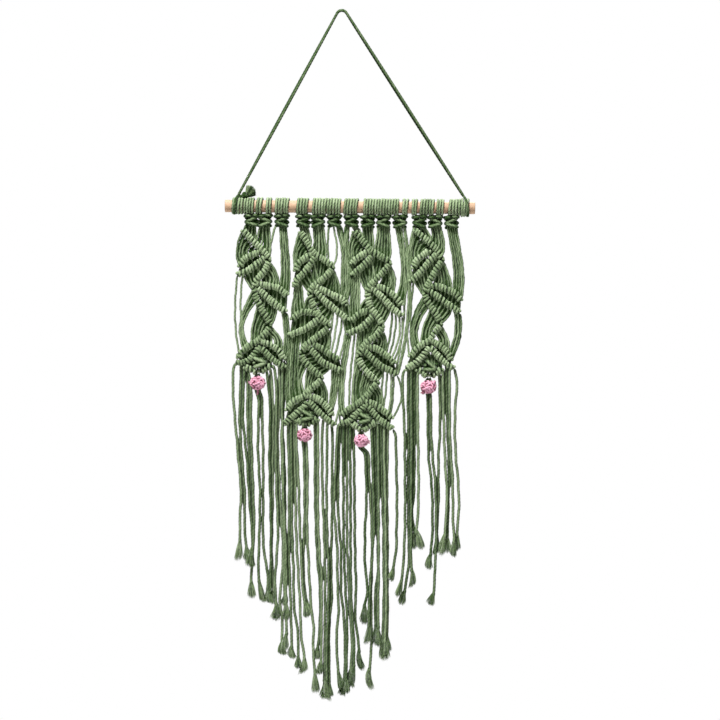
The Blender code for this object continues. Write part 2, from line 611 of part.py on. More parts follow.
def add_dowel(finish):
    bm = bmesh.new()
    turn = Matrix.Rotation(math.pi / 2, 4, "Y")
    bmesh.ops.create_cone(bm, cap_ends=True, segments=DOWEL_SIDES, radius1=DOWEL_RADIUS,
                          radius2=DOWEL_RADIUS, depth=DOWEL_LENGTH, matrix=turn)
    rims = [e for e in bm.edges if abs(e.verts[0].co.x - e.verts[1].co.x) < 1e-6]
    bmesh.ops.bevel(bm, geom=rims, offset=DOWEL_BEVEL, affect="EDGES", segments=1, profile=0.5,
                    material=-1)
    mesh = bpy.data.meshes.new("dowel")
    bm.to_mesh(mesh)
    bm.free()
    dowel = add_object("dowel", mesh, finish)
    dowel.location = (DOWEL_CENTRE_X, 0, -DOWEL_DROP)
    dowel.rotation_euler = (0, DOWEL_TILT, 0)
    mesh.shade_smooth()
    mesh.set_sharp_from_angle(angle=math.radians(40))


# One leg's foot stands just over its tie; the bend passes over the pin. The two cords lie mostly
# one behind the other, and HANGER_BESIDE of their distance beside each other.
def hanger_course(side):
    centre = Vector((0, 0, CORD_RADIUS - HANGER_BEND))
    course = []
    for foot_x, crest, sign in ((LEFT_FOOT_X, WRAP_CREST, -1), (RIGHT_FOOT_X, RIGHT_TIE_CREST, 1)):
        foot = Vector((foot_x, 0, dowel_z(foot_x) + crest + LEG_CLEAR))
        reach = foot - centre
        lean = math.atan2(abs(reach.x), -reach.z) + math.acos(HANGER_BEND / reach.length)
        touch = centre + HANGER_BEND * Vector((sign * math.sin(lean), 0, -math.cos(lean)))
        leg = []
        for k in range(HANGER_LEG_POINTS):
            t = k / HANGER_LEG_POINTS
            spread = HANGER_BESIDE * math.sin(math.pi * t) ** 0.7 if k else 0.0
            along = foot.lerp(touch, t)
            outward = Vector((-(touch - foot).z, 0, (touch - foot).x)).normalized()
            offset = outward * (side * HANGER_SPREAD / 2 * spread)
            depth = side * HANGER_SPREAD / 2 * math.sqrt(max(0.0, 1 - spread * spread * 0.98))
            leg.append(along + offset + Vector((0, depth, 0)))
        arc = []
        for k in range(HANGER_BEND_POINTS // 2 + 1):
            turn = lean + (math.pi - lean) * k / (HANGER_BEND_POINTS // 2)
            arc.append(centre + Vector((sign * HANGER_BEND * math.sin(turn), side * HANGER_SPREAD / 2,
                                        -HANGER_BEND * math.cos(turn))))
        half = leg + arc
        course = half if sign < 0 else course + half[-2::-1]
    return course


def add_hanger_cord(name, side, finish):
    curve = bpy.data.curves.new(name, "CURVE")
    curve.dimensions = "3D"
    curve.bevel_depth = CORD_RADIUS
    curve.bevel_resolution = 2
    curve.use_fill_caps = True
    points = hanger_course(side)
    spline = curve.splines.new("POLY")
    spline.points.add(len(points) - 1)
    for point, place in zip(spline.points, points):
        point.co = (*place, 1)
    add_object(name, curve, finish)


def add_tie(name, x, turns, crest, finish):
    bm = bmesh.new()
    wrap_ring(bm, x, turns, crest)
    bmesh.ops.recalc_face_normals(bm, faces=bm.faces)
    mesh = bpy.data.meshes.new(name)
    bm.to_mesh(mesh)
    bm.free()
    return add_object(name, mesh, finish)


def add_left_tie(outline, finish):
    tie = add_tie("hanger_tie_left", LEFT_FOOT_X, LEFT_TIE_TURNS, WRAP_CREST, finish)
    course = []
    for point in LEFT_TIE_KNOT:
        x = LEFT_FOOT_X + point.along
        course.append((Vector((x, 0, dowel_z(x) + point.above)), point.thickness))
    union = tie.modifiers.new("fuse", "BOOLEAN")
    union.operation = "UNION"
    union.object = add_helper("hanger_tie_knot", tube_mesh("hanger_tie_knot", [course], outline))
    union.solver = "EXACT"


# A lumpy ball of small cord turns, tied round the two middle strands, which run through it.
def add_berry(vine, finish):
    bm = bmesh.new()
    bmesh.ops.create_cube(bm, size=2.0)
    bmesh.ops.subdivide_edges(bm, edges=bm.edges[:], cuts=3, use_grid_fill=True)
    for v in bm.verts:
        way = v.co.normalized()
        lump = 1 + BERRY_LUMP * math.sin(5.1 * way.x + 1.3) * math.cos(6.2 * way.z + 2.2 * way.y)
        v.co = Vector([way[i] * BERRY_SIZE[i] / 2 * lump for i in range(3)])
    place = chart_point(vine, *vine.berry, BERRY_Y)
    bmesh.ops.translate(bm, verts=bm.verts, vec=place)
    mesh = bpy.data.meshes.new("berry_" + vine.name)
    bm.to_mesh(mesh)
    bm.free()
    berry = add_object("berry_" + vine.name, mesh, finish)
    bore = bmesh.new()
    bmesh.ops.create_cube(bore, size=1.0)
    bmesh.ops.scale(bore, verts=bore.verts, vec=(*BERRY_BORE, 2 * BERRY_SIZE[2]))
    bmesh.ops.translate(bore, verts=bore.verts, vec=(place.x, LINK_Y, place.z))
    bore_mesh = bpy.data.meshes.new("bore_" + vine.name)
    bore.to_mesh(bore_mesh)
    bore.free()
    cut = berry.modifiers.new("bore", "BOOLEAN")
    cut.operation = "DIFFERENCE"
    cut.object = add_helper("bore_" + vine.name, bore_mesh)
    cut.solver = "EXACT"


def build():
    for old in list(bpy.data.objects):
        bpy.data.objects.remove(old)
    beech = material("beech", (0.72, 0.44, 0.30), 0.55)
    sage = material("sage_cotton", (0.20, 0.31, 0.14), 0.9)
    pink = material("pink_cotton", (0.76, 0.24, 0.44), 0.9)
    bar_outline = tube_outline("bar_outline", BAR_RADIUS, BAR_SIDES)
    strand_outline = tube_outline("strand_outline", STRAND_RADIUS, STRAND_SIDES)
    add_dowel(beech)
    for vine in VINES:
        add_vine(vine, bar_outline, strand_outline, sage)
        add_berry(vine, pink)
    add_hanger_cord("hanger_cord_front", -1, sage)
    add_hanger_cord("hanger_cord_back", 1, sage)
    add_left_tie(tube_outline("tie_outline", CORD_RADIUS, BAR_SIDES), sage)
    add_tie("hanger_tie_right", RIGHT_FOOT_X, RIGHT_TIE_TURNS, RIGHT_TIE_CREST, sage)


build()
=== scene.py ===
import math
import random

import bmesh
import bpy
import numpy as np
from mathutils import Matrix, Quaternion, Vector


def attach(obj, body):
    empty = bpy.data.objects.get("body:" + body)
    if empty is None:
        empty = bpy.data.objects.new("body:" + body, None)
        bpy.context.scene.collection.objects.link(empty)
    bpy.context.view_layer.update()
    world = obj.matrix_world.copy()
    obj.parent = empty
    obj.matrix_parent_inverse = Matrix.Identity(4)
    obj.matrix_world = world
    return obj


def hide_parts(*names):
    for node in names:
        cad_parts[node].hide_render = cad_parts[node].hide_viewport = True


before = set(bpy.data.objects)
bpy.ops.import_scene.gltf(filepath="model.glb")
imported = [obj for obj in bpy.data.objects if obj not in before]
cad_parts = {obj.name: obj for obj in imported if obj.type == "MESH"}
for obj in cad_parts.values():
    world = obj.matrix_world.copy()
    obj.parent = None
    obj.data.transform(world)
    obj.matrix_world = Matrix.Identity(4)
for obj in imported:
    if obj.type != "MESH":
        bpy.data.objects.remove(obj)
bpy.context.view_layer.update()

# Lengths are in metres. Tones run from 0, a finish's dark shade, to 1, its light one.
# The hanging is drawn on squared paper, and cell is the real size of one square. A vine's chart
# counts columns from the vine's centre line and rows down from the dowel.
cell = 0.0012
dowelDrop = 0.2343   # the dowel's axis below the pin, at its middle
dowelMiddle = 0.0098
dowelTilt = math.radians(0.46)
firstColumn = 341.8  # the fringe chart's column and row at the pin
firstRow = 11.75
strandY = 0.0010     # where the plain strands lie, seen from the side
random.seed(41)


def dowelHeight(x):
    return -dowelDrop - (x - dowelMiddle) * math.tan(dowelTilt)


def addObject(name, data):
    made = bpy.data.objects.new(name, data)
    bpy.context.scene.collection.objects.link(made)
    return made


def smoothMesh(name, bm, finish):
    mesh = bpy.data.meshes.new(name)
    bm.to_mesh(mesh)
    bm.free()
    mesh.materials.append(finish)
    mesh.shade_smooth()
    return mesh


def anyPhase():
    return random.uniform(0, 6.28)


def eitherWay(most):
    return random.uniform(-most, most)


# The camera looks straight on and frames the hanging as the photo does.
view = {"distance": 3.0, "width": 0.864, "middleX": 0.0218, "middleZ": -0.4179,
        "sensor": 36.0, "clipEnd": 20.0}


def setCamera():
    data = bpy.data.cameras.new("camera")
    data.sensor_width = view["sensor"]
    data.lens = view["sensor"] * view["distance"] / view["width"]
    data.clip_end = view["clipEnd"]
    camera = addObject("camera", data)
    camera.location = (view["middleX"], -view["distance"], view["middleZ"])
    camera.rotation_euler = (math.pi / 2, 0, 0)
    bpy.context.scene.camera = camera


setCamera()
print("camera set")


def newMaterial(name, roughness, specular=0.5):
    made = bpy.data.materials.new(name)
    made.use_nodes = True
    shader = made.node_tree.nodes["Principled BSDF"]
    shader.inputs["Roughness"].default_value = roughness
    shader.inputs["Specular IOR Level"].default_value = specular
    return made, made.node_tree, shader


def addNode(tree, kind, **settings):
    node = tree.nodes.new(kind)
    for key, value in settings.items():
        setattr(node, key, value)
    return node


def mathNode(tree, operation, *values):
    node = addNode(tree, "ShaderNodeMath", operation=operation)
    for socket, value in zip(node.inputs, values):
        if isinstance(value, (int, float)):
            socket.default_value = value
        else:
            tree.links.new(value, socket)
    return node.outputs[0]


def rangeNode(tree, value, low, high):
    node = addNode(tree, "ShaderNodeMapRange")
    node.inputs["From Min"].default_value = low
    node.inputs["From Max"].default_value = high
    tree.links.new(value, node.inputs["Value"])
    return node.outputs[0]


# Noise at a place, finer along the axes that are stretched more.
def noiseNode(tree, place, stretch, detail):
    stretched = addNode(tree, "ShaderNodeVectorMath", operation="MULTIPLY")
    stretched.inputs[1].default_value = stretch
    tree.links.new(place, stretched.inputs[0])
    node = addNode(tree, "ShaderNodeTexNoise")
    node.inputs["Scale"].default_value = 1.0
    node.inputs["Detail"].default_value = detail
    tree.links.new(stretched.outputs[0], node.inputs["Vector"])
    return node.outputs["Fac"]


# A noise swings a value up and down by its share.
def swungBy(tree, value, noise, share):
    return mathNode(tree, "MULTIPLY_ADD", mathNode(tree, "SUBTRACT", noise, 0.5), share, value)


def mixColours(tree, factor, first, second):
    node = addNode(tree, "ShaderNodeMix", data_type="RGBA")
    tree.links.new(factor, node.inputs[0])
    tree.links.new(first, node.inputs[6])
    tree.links.new(second, node.inputs[7])
    return node.outputs[2]


# A pattern's group reads one vector, some colours and some values, and gives Color and Height.
def newGroup(name, vector, colours, values):
    group = bpy.data.node_groups.new(name, "ShaderNodeTree")
    sockets = [(vector, "NodeSocketVector")]
    sockets += [(label, "NodeSocketColor") for label in colours]
    sockets += [(label, "NodeSocketFloat") for label in values]
    for label, kind in sockets:
        group.interface.new_socket(name=label, in_out="INPUT", socket_type=kind)
    for label, kind in (("Color", "NodeSocketColor"), ("Height", "NodeSocketFloat")):
        group.interface.new_socket(name=label, in_out="OUTPUT", socket_type=kind)
    return group, group.nodes.new("NodeGroupInput"), group.nodes.new("NodeGroupOutput")


def usePattern(tree, shader, pattern, strength, depth):
    tree.links.new(pattern.outputs["Color"], shader.inputs["Base Color"])
    bump = addNode(tree, "ShaderNodeBump")
    bump.inputs["Strength"].default_value = strength
    bump.inputs["Distance"].default_value = depth
    tree.links.new(pattern.outputs["Height"], bump.inputs["Height"])
    tree.links.new(bump.outputs["Normal"], shader.inputs["Normal"])


cotton = {"roughness": 0.92, "specular": 0.15, "sheenRoughness": 0.5, "bumpDepth": 0.00025,
          "streaks": (2600, 2600, 190), "streakDetail": 3.0,
          "patches": (120, 120, 70), "patchDetail": 1.0, "patchShare": 0.5}
# Each finish also sets how much shade is painted into the ply grooves and where strands meet.
cottonShades = {
    "sage cord": {
        "slot": "sage_cotton", "light": (0.62, 0.69, 0.51, 1), "middle": (0.295, 0.39, 0.21, 1),
        "dark": (0.021, 0.060, 0.006, 1), "groove": 0.22, "seat_shade": 0.9, "streak": 0.7,
        "sheen": 0.22, "bump": 0.6,
    },
    "sage brushed ends": {
        "slot": "sage_cotton", "light": (0.43, 0.53, 0.31, 1), "middle": (0.17, 0.265, 0.095, 1),
        "dark": (0.022, 0.065, 0.007, 1), "groove": 0.0, "seat_shade": 0.2, "streak": 0.6,
        "sheen": 0.35, "bump": 0.4,
    },
    "pink cord": {
        "slot": "pink_cotton", "light": (0.98, 0.69, 0.81, 1), "middle": (0.92, 0.46, 0.62, 1),
        "dark": (0.30, 0.07, 0.10, 1), "groove": 0.30, "seat_shade": 0.62, "streak": 0.6,
        "sheen": 0.25, "bump": 0.6,
    },
}


# Cotton spun from fine fibres: streaks along each ply, painted shade in the grooves between
# the plies and where strands meet, a tone of its own for every strand, and slow patches where
# the dye took less.
def cottonGroup():
    group, start, end = newGroup(
        "spun cotton", "Fibre", ("Light", "Middle", "Dark"),
        ("Groove", "Seat_shade", "Tone", "Groove Share", "Seat_shade Share", "Streak Share"))
    read = start.outputs
    streak = noiseNode(group, read["Fibre"], cotton["streaks"], cotton["streakDetail"])
    patch = noiseNode(group, read["Fibre"], cotton["patches"], cotton["patchDetail"])
    value = swungBy(group, read["Tone"], streak, read["Streak Share"])
    value = swungBy(group, value, patch, cotton["patchShare"])
    # Painted shade in the grooves between the plies; the same amount also lowers the bump height
    # there.
    sunk = mathNode(group, "MULTIPLY", read["Groove"], read["Groove Share"])
    value = mathNode(group, "SUBTRACT", value, sunk)
    # Painted shade where a strand lies against its neighbours.
    paintedSeatShade = mathNode(group, "MULTIPLY", read["Seat_shade"], read["Seat_shade Share"])
    value = mathNode(group, "SUBTRACT", value, paintedSeatShade)
    deep = mixColours(group, rangeNode(group, value, 0.0, 0.5), read["Dark"], read["Middle"])
    pale = mixColours(group, rangeNode(group, value, 0.5, 1.0), deep, read["Light"])
    group.links.new(pale, end.inputs["Color"])
    group.links.new(mathNode(group, "SUBTRACT", streak, sunk), end.inputs["Height"])
    return group


def cottonMaterial(name, group):
    shade = cottonShades[name]
    made, tree, shader = newMaterial(name, cotton["roughness"], cotton["specular"])
    shader.inputs["Sheen Weight"].default_value = shade["sheen"]
    shader.inputs["Sheen Roughness"].default_value = cotton["sheenRoughness"]
    spun = addNode(tree, "ShaderNodeGroup", node_tree=group)
    for label, output in (("Fibre", "Vector"), ("Groove", "Fac"), ("Seat_shade", "Fac"),
                          ("Tone", "Fac")):
        read = addNode(tree, "ShaderNodeAttribute", attribute_name=label.lower())
        tree.links.new(read.outputs[output], spun.inputs[label])
    for label in ("Light", "Middle", "Dark"):
        spun.inputs[label].default_value = shade[label.lower()]
    for label in ("Groove", "Seat_shade", "Streak"):
        spun.inputs[label + " Share"].default_value = shade[label.lower()]
    usePattern(tree, shader, spun, shade["bump"], cotton["bumpDepth"])
    return made


spunCotton = cottonGroup()
sageCord = cottonMaterial("sage cord", spunCotton)
sageBrushed = cottonMaterial("sage brushed ends", spunCotton)
pinkCord = cottonMaterial("pink cord", spunCotton)
print("cotton finishes made")


yarn = {
    "radius": 0.00176,  # over the crests of the plies
    "plies": 3,
    "perPly": 3,        # outline points to a ply
    "sunk": 0.86,       # the grooves between the plies, as a share of the radius
    "twist": 0.0125,    # length of one full turn
    "step": 0.0015,     # between the points of a course
    "endSizes": (0.02, 0.62, 0.9),
}
# For strands that others hide: fewer sides and a slower twist.
plainYarn = dict(yarn, perPly=2, twist=0.024, step=0.0025, endSizes=(0.02, 0.75))
fibreYarn = {"radius": 0.00034, "plies": 1, "perPly": 3, "sunk": 1.0, "twist": 0.05,
             "endSizes": (0.02, 0.7)}
plyYarn = {"radius": 0.00155, "plies": 2, "perPly": 4, "sunk": 0.78, "twist": 0.0065,
           "endSizes": (0.02, 0.62, 0.9)}
grooveEdge = 1.5     # above 1, the plies are rounder and the grooves between them narrower
fibreFollow = 0.35   # how far the fibres' streaks follow the cord's twist
# How late the painted shade on a strand deepens from its open side towards its neighbours: a
# strand that lies behind others, one that lies beside them, and one that is wound.
seatShadeFall = {"behind": 0.5, "beside": 0.85, "wound": 1.9}


# A cord's grooved outline, which is drawn along its courses.
def outlineOf(kind):
    if "outline" in kind:
        return kind["outline"]
    count = kind["plies"] * kind["perPly"]
    curve = bpy.data.curves.new("outline", "CURVE")
    curve.dimensions = "2D"
    spline = curve.splines.new("POLY")
    spline.points.add(count - 1)
    grooves = []
    for k, point in enumerate(spline.points):
        turn = 2 * math.pi * k / count
        groove = (1 - math.cos(kind["plies"] * turn)) / 2 if kind["plies"] > 1 else 0.0
        reach = kind["radius"] * (1 - (1 - kind["sunk"]) * groove ** grooveEdge)
        point.co = (reach * math.cos(turn), reach * math.sin(turn), 0, 1)
        grooves.append(groove)
    spline.use_cyclic_u = True
    kind["outline"] = addObject("outline", curve)
    kind["grooves"] = np.array(grooves)
    return kind["outline"]


# The place at any station number of the smooth course that goes through the stations.
def courseAt(points, station):
    last = len(points) - 1
    i = min(int(station), last - 1)
    t = station - i
    p1, p2 = points[i], points[i + 1]
    p0 = points[i - 1] if i > 0 else p1 * 2 - p2
    p3 = points[i + 2] if i + 2 <= last else p2 * 2 - p1
    return 0.5 * (2 * p1 + (p2 - p0) * t + (2 * p0 - 5 * p1 + 4 * p2 - p3) * t * t
                  + (3 * p1 - p0 - 3 * p2 + p3) * t ** 3)


def lengthOf(points):
    return sum((b - a).length for a, b in zip(points, points[1:]))


# The same line with its points about a step apart.
def evenLine(points, step):
    reach = [0.0]
    for a, b in zip(points, points[1:]):
        reach.append(reach[-1] + (b - a).length)
    count = max(3, round(reach[-1] / step))
    placed, k = [points[0]], 0
    for i in range(1, count):
        want = reach[-1] * i / count
        while reach[k + 1] < want:
            k += 1
        share = (want - reach[k]) / (reach[k + 1] - reach[k])
        placed.append(points[k].lerp(points[k + 1], share))
    return placed + [points[-1]]


def evenCourse(points, step, fineness=10):
    fine = [courseAt(points, k / fineness) for k in range(fineness * (len(points) - 1) + 1)]
    return evenLine(fine, step)


# A strand is a course with a size at each point, a tone, where its twist and its fibre start,
# the line that it is wound around, if any, how much shade is painted where it meets others, and
# whether others hide it.
def strand(points, tone, size=1.0, kind=yarn, sizes=None, around=None, seat_shade=1.0, behind=False):
    sizes = list(sizes) if sizes else [size] * len(points)
    for k, share in enumerate(kind["endSizes"]):
        if k < len(points) // 2:
            sizes[k] *= share
            sizes[-1 - k] *= share
    return {"points": points, "sizes": sizes, "tone": tone, "turn": anyPhase(),
            "start": random.uniform(0, 5.0), "around": around, "seat_shade": seat_shade,
            "behind": behind}


def asRows(points):
    return np.array([tuple(p) for p in points])


def unit(ways):
    return ways / np.maximum(1e-9, np.linalg.norm(ways, axis=-1, keepdims=True))


# Painted shade where strands meet. How far each place faces its neighbours: 0 on the open
# front and back of a strand, or on the outside of a turn, and 1 where it lies against the next
# one. A strand behind others is open only at the back, so its front is painted in shade.
def seatShadeOf(strands, rings):
    made, done = [], 0
    for each in strands:
        points = asRows(each["points"])
        ways = unit(rings[done:done + len(points)] - points[:, None, :])
        done += len(points)
        if each["behind"]:
            facing, fall = np.clip(ways[:, :, 1], 0, 1), seatShadeFall["behind"]
        elif each["around"] is None:
            facing, fall = np.abs(ways[:, :, 1]), seatShadeFall["beside"]
        else:
            outward = unit(points - asRows(each["around"]))
            facing = np.clip((ways * outward[:, None, :]).sum(2), 0, 1)
            fall = seatShadeFall["wound"]
        made.append((each["seat_shade"] * (1 - facing) ** fall).ravel())
    return np.concatenate(made)


# Every strand becomes a spline of one curve. What its finish reads comes back, for each point
# of the outline: where it lies in the fibre, how deep in a groove, and the strand's shade.
def layStrands(curve, strands, kind):
    grooves = kind["grooves"]
    sides = len(grooves)
    angles = 2 * math.pi * np.arange(sides) / sides
    fibre, groove, tone = [], [], []
    for each in strands:
        points = asRows(each["points"])
        steps = np.linalg.norm(np.diff(points, axis=0), axis=1)
        along = np.concatenate([[0.0], np.cumsum(steps)])
        tilt = each["turn"] + 2 * math.pi * along / kind["twist"]
        spline = curve.splines.new("POLY")
        spline.points.add(len(points) - 1)
        places = np.concatenate([points, np.ones((len(points), 1))], axis=1)
        spline.points.foreach_set("co", places.ravel())
        spline.points.foreach_set("radius", each["sizes"])
        spline.points.foreach_set("tilt", tilt)
        around = angles[None, :] + fibreFollow * tilt[:, None]
        lies = np.stack([kind["radius"] * np.cos(around), kind["radius"] * np.sin(around),
                         np.repeat(along[:, None], sides, 1) + each["start"]], axis=2)
        fibre.append(lies.reshape(-1, 3))
        groove.append(np.tile(grooves, len(points)))
        tone.append(np.full(len(points) * sides, each["tone"]))
    return np.concatenate(fibre), np.concatenate(groove), np.concatenate(tone)


def closeEnds(mesh):
    bm = bmesh.new()
    bm.from_mesh(mesh)
    bmesh.ops.remove_doubles(bm, verts=bm.verts, dist=1e-6)
    openEdges = [e for e in bm.edges if len(e.link_faces) == 1]
    bmesh.ops.holes_fill(bm, edges=openEdges, sides=0)
    bmesh.ops.recalc_face_normals(bm, faces=bm.faces)
    bm.to_mesh(mesh)
    bm.free()


# All strands of a piece as one mesh, in which every strand is closed.
def spin(name, strands, finish, kind):
    curve = bpy.data.curves.new(name, "CURVE")
    curve.dimensions = "3D"
    curve.twist_mode = "MINIMUM"
    curve.bevel_mode = "OBJECT"
    curve.bevel_object = outlineOf(kind)
    fibre, groove, tone = layStrands(curve, strands, kind)
    holder = addObject(name, curve)
    shaped = holder.evaluated_get(bpy.context.evaluated_depsgraph_get())
    mesh = bpy.data.meshes.new_from_object(shaped)
    bpy.data.objects.remove(holder)
    if len(fibre) != len(mesh.vertices):
        raise ValueError(name + ": the cord has another number of points than its courses")
    places = np.empty(len(mesh.vertices) * 3)
    mesh.vertices.foreach_get("co", places)
    seat_shade = seatShadeOf(strands, places.reshape(-1, len(kind["grooves"]), 3))
    layer = mesh.attributes.new("fibre", "FLOAT_VECTOR", "POINT")
    layer.data.foreach_set("vector", fibre.ravel())
    for key, values in (("groove", groove), ("seat_shade", seat_shade), ("tone", tone)):
        layer = mesh.attributes.new(key, "FLOAT", "POINT")
        layer.data.foreach_set("value", values)
    closeEnds(mesh)
    mesh.name = name
    mesh.materials.append(finish)
    mesh.shade_smooth()
    return addObject(name, mesh)


def finishPiece(piece, slot, *nodes):
    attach(piece, "root")
    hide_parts(*nodes)


def spinFor(node, ending, strands, finish=sageCord, kind=yarn):
    piece = spin(node + ending, strands, finish, kind)
    finishPiece(piece, cottonShades[finish.name]["slot"], node)
    return piece


# A gentle waviness, nothing at both ends.
def wander(points, size, wave):
    phases = [anyPhase() for _ in range(4)]
    total = lengthOf(points)
    moved, along = [points[0]], 0.0
    for a, b in zip(points, points[1:]):
        along += (b - a).length
        ease = math.sin(math.pi * min(1.0, along / total)) ** 0.5
        u = 2 * math.pi * along / wave
        aside = math.sin(u + phases[0]) + 0.5 * math.sin(2.3 * u + phases[1])
        deep = math.sin(0.8 * u + phases[2]) + 0.5 * math.sin(1.9 * u + phases[3])
        moved.append(b + Vector((size * ease * aside, size * ease * deep, 0)))
    return moved


# The hanger is one doubled cord. Its two strands lie one behind the other at the feet and the
# bend. Between them each turns a little round the other, and hug keeps them touching there.
hanger = {
    "length": 0.53, "diameter": 0.0032, "bend": 0.0064, "spread": 0.0038, "beside": 0.38,
    "besideEase": 0.7, "hug": 0.98, "legPoints": 16, "bendPoints": 4, "fineness": 6,
    "clear": 0.0005, "tone": 0.30, "frontBackShade": 0.12,
    "left": {"foot": -0.1254, "crest": 0.0106}, "right": {"foot": 0.1474, "crest": 0.0114},
}


# Where the hanger comes down on the crest of a tie's turns.
def hangerFoot(end, y):
    x = hanger[end]["foot"]
    return Vector((x, y, dowelHeight(x) + hanger[end]["crest"] + hanger["clear"]))


def hangerCourse(side):
    bend = hanger["bend"]
    apart = side * hanger["spread"] / 2
    centre = Vector((0, 0, hanger["diameter"] / 2 - bend))
    course = []
    for end, sign in (("left", -1), ("right", 1)):
        foot = hangerFoot(end, 0)
        reach = foot - centre
        lean = math.atan2(abs(reach.x), -reach.z) + math.acos(bend / reach.length)
        touch = centre + bend * Vector((sign * math.sin(lean), 0, -math.cos(lean)))
        outward = Vector((-(touch - foot).z, 0, (touch - foot).x)).normalized()
        half = []
        for k in range(hanger["legPoints"]):
            t = k / hanger["legPoints"]
            beside = hanger["beside"] * math.sin(math.pi * t) ** hanger["besideEase"]
            depth = apart * math.sqrt(1 - beside * beside * hanger["hug"])
            half.append(foot.lerp(touch, t) + outward * (apart * beside) + Vector((0, depth, 0)))
        for k in range(hanger["bendPoints"] + 1):
            turn = lean + (math.pi - lean) * k / hanger["bendPoints"]
            half.append(centre + Vector((sign * bend * math.sin(turn), apart,
                                         -bend * math.cos(turn))))
        course = half if sign < 0 else course + half[-2::-1]
    return course


def makeHangerCords():
    for name, side in (("hanger_cord_front", -1), ("hanger_cord_back", 1)):
        course = evenCourse(hangerCourse(side), yarn["step"], hanger["fineness"])
        # The hanger cord's tone is set low as painted shade, and its back strand is painted darker
        # than its front one, as painted shade behind it.
        tone = hanger["tone"] - hanger["frontBackShade"] * side
        piece = spinFor(name, "_spun", [strand(course, tone)])


makeHangerCords()
print("hanger cords spun")


dowel = {"length": 0.300, "radius": 0.0074, "rim": 0.0009, "rimSteps": 4, "sides": 72,
         "sharpAngle": math.radians(50)}
beech = {"roughness": 0.55, "specular": 0.35, "bump": 0.35, "bumpDepth": 0.00015,
         "light": (0.66, 0.455, 0.30, 1), "dark": (0.43, 0.25, 0.14, 1),
         "middle": 0.55, "bands": (9, 260, 260), "bandDetail": 3.0, "bandShare": 1.5,
         "pores": (220, 2400, 2400), "poreDetail": 2.0, "poreShare": 0.7,
         "flecks": (420, 1500, 1500), "fleckDetail": 1.0, "fleckRange": (0.62, 0.75),
         "fleckShare": 0.35}


def beechGroup():
    group, start, end = newGroup("beech grain", "Place", ("Light", "Dark"), ())
    read = start.outputs
    bands = noiseNode(group, read["Place"], beech["bands"], beech["bandDetail"])
    pores = noiseNode(group, read["Place"], beech["pores"], beech["poreDetail"])
    flecks = noiseNode(group, read["Place"], beech["flecks"], beech["fleckDetail"])
    value = swungBy(group, beech["middle"], bands, beech["bandShare"])
    value = swungBy(group, value, pores, beech["poreShare"])
    fleck = rangeNode(group, flecks, *beech["fleckRange"])
    value = mathNode(group, "MULTIPLY_ADD", fleck, -beech["fleckShare"], value)
    mixed = mixColours(group, value, read["Dark"], read["Light"])
    group.links.new(mixed, end.inputs["Color"])
    group.links.new(mathNode(group, "SUBTRACT", pores, fleck), end.inputs["Height"])
    return group


def beechMaterial():
    made, tree, shader = newMaterial("beech", beech["roughness"], beech["specular"])
    coords = addNode(tree, "ShaderNodeTexCoord")
    grain = addNode(tree, "ShaderNodeGroup", node_tree=beechGroup())
    grain.inputs["Light"].default_value = beech["light"]
    grain.inputs["Dark"].default_value = beech["dark"]
    tree.links.new(coords.outputs["Object"], grain.inputs["Place"])
    usePattern(tree, shader, grain, beech["bump"], beech["bumpDepth"])
    return made


def makeDowel():
    bm = bmesh.new()
    place = (Matrix.Translation((dowelMiddle, 0, -dowelDrop)) @ Matrix.Rotation(dowelTilt, 4, "Y")
             @ Matrix.Rotation(math.pi / 2, 4, "Y"))
    bmesh.ops.create_cone(bm, cap_ends=True, segments=dowel["sides"], radius1=dowel["radius"],
                          radius2=dowel["radius"], depth=dowel["length"])
    rims = [e for e in bm.edges if abs(e.verts[0].co.z - e.verts[1].co.z) < 1e-6]
    bmesh.ops.bevel(bm, geom=rims, offset=dowel["rim"], affect="EDGES",
                    segments=dowel["rimSteps"], profile=0.5, material=-1)
    bmesh.ops.transform(bm, matrix=place, verts=bm.verts)
    bmesh.ops.recalc_face_normals(bm, faces=bm.faces)
    mesh = smoothMesh("dowel_beech", bm, beechMaterial())
    mesh.set_sharp_from_angle(angle=dowel["sharpAngle"])
    piece = addObject("dowel_beech", mesh)
    finishPiece(piece, "beech", "dowel")


makeDowel()
print("dowel turned")


# Each group of turns round the dowel: its first and last edge, in columns of the fringe chart,
# and its turns.
turnGroups = {
    "hanger_tie_left": [(232.3, 243.4, 4)],
    "vine_1": [(243.8, 254.3, 4), (256.4, 262.6, 2), (266.1, 271.9, 2), (275.3, 289.0, 5)],
    "vine_2": [(296.8, 308.4, 4), (312.6, 340.9, 10)],
    "vine_3": [(344.0, 358.0, 5), (363.4, 399.0, 13), (402.2, 408.4, 2)],
    "vine_4": [(411.6, 417.4, 2), (420.0, 434.2, 5), (436.4, 443.9, 3), (448.7, 460.6, 4)],
    "hanger_tie_right": [(460.6, 468.6, 3)],
}
turns = {"reach": 0.0090, "slant": 0.0009, "slantSpread": (0.5, 1.5), "slantTurn": 0.6,
         "lift": (-0.00012, 0.00025), "fill": 1.09, "mostSize": 1.12, "tones": (0.56, 0.74),
         "seat_shade": 1.25, "perTurn": 34}


def columnX(column):
    return (column - firstColumn) * cell


def dowelTurns(name, reach=turns["reach"]):
    made = []
    for first, last, count in turnGroups[name]:
        pitch = (columnX(last) - columnX(first)) / count
        size = min(turns["mostSize"], turns["fill"] * pitch / (2 * yarn["radius"]))
        begin = columnX(first) + pitch / 2
        for k in range(count):
            middle = begin + pitch * k
            tone = random.uniform(*turns["tones"])
            slant = turns["slant"] * random.uniform(*turns["slantSpread"])
            r = reach + random.uniform(*turns["lift"])
            course, axis = [], []
            for i in range(turns["perTurn"] + 1):
                angle = 2 * math.pi * (i / turns["perTurn"]) - math.pi / 2
                x = middle + slant * math.sin(angle + turns["slantTurn"])
                z = dowelHeight(x)
                course.append(Vector((x, r * math.cos(angle), z + r * math.sin(angle))))
                axis.append(Vector((x, 0, z)))
            made.append(strand(course, tone, size, around=axis, seat_shade=turns["seat_shade"]))
    return made


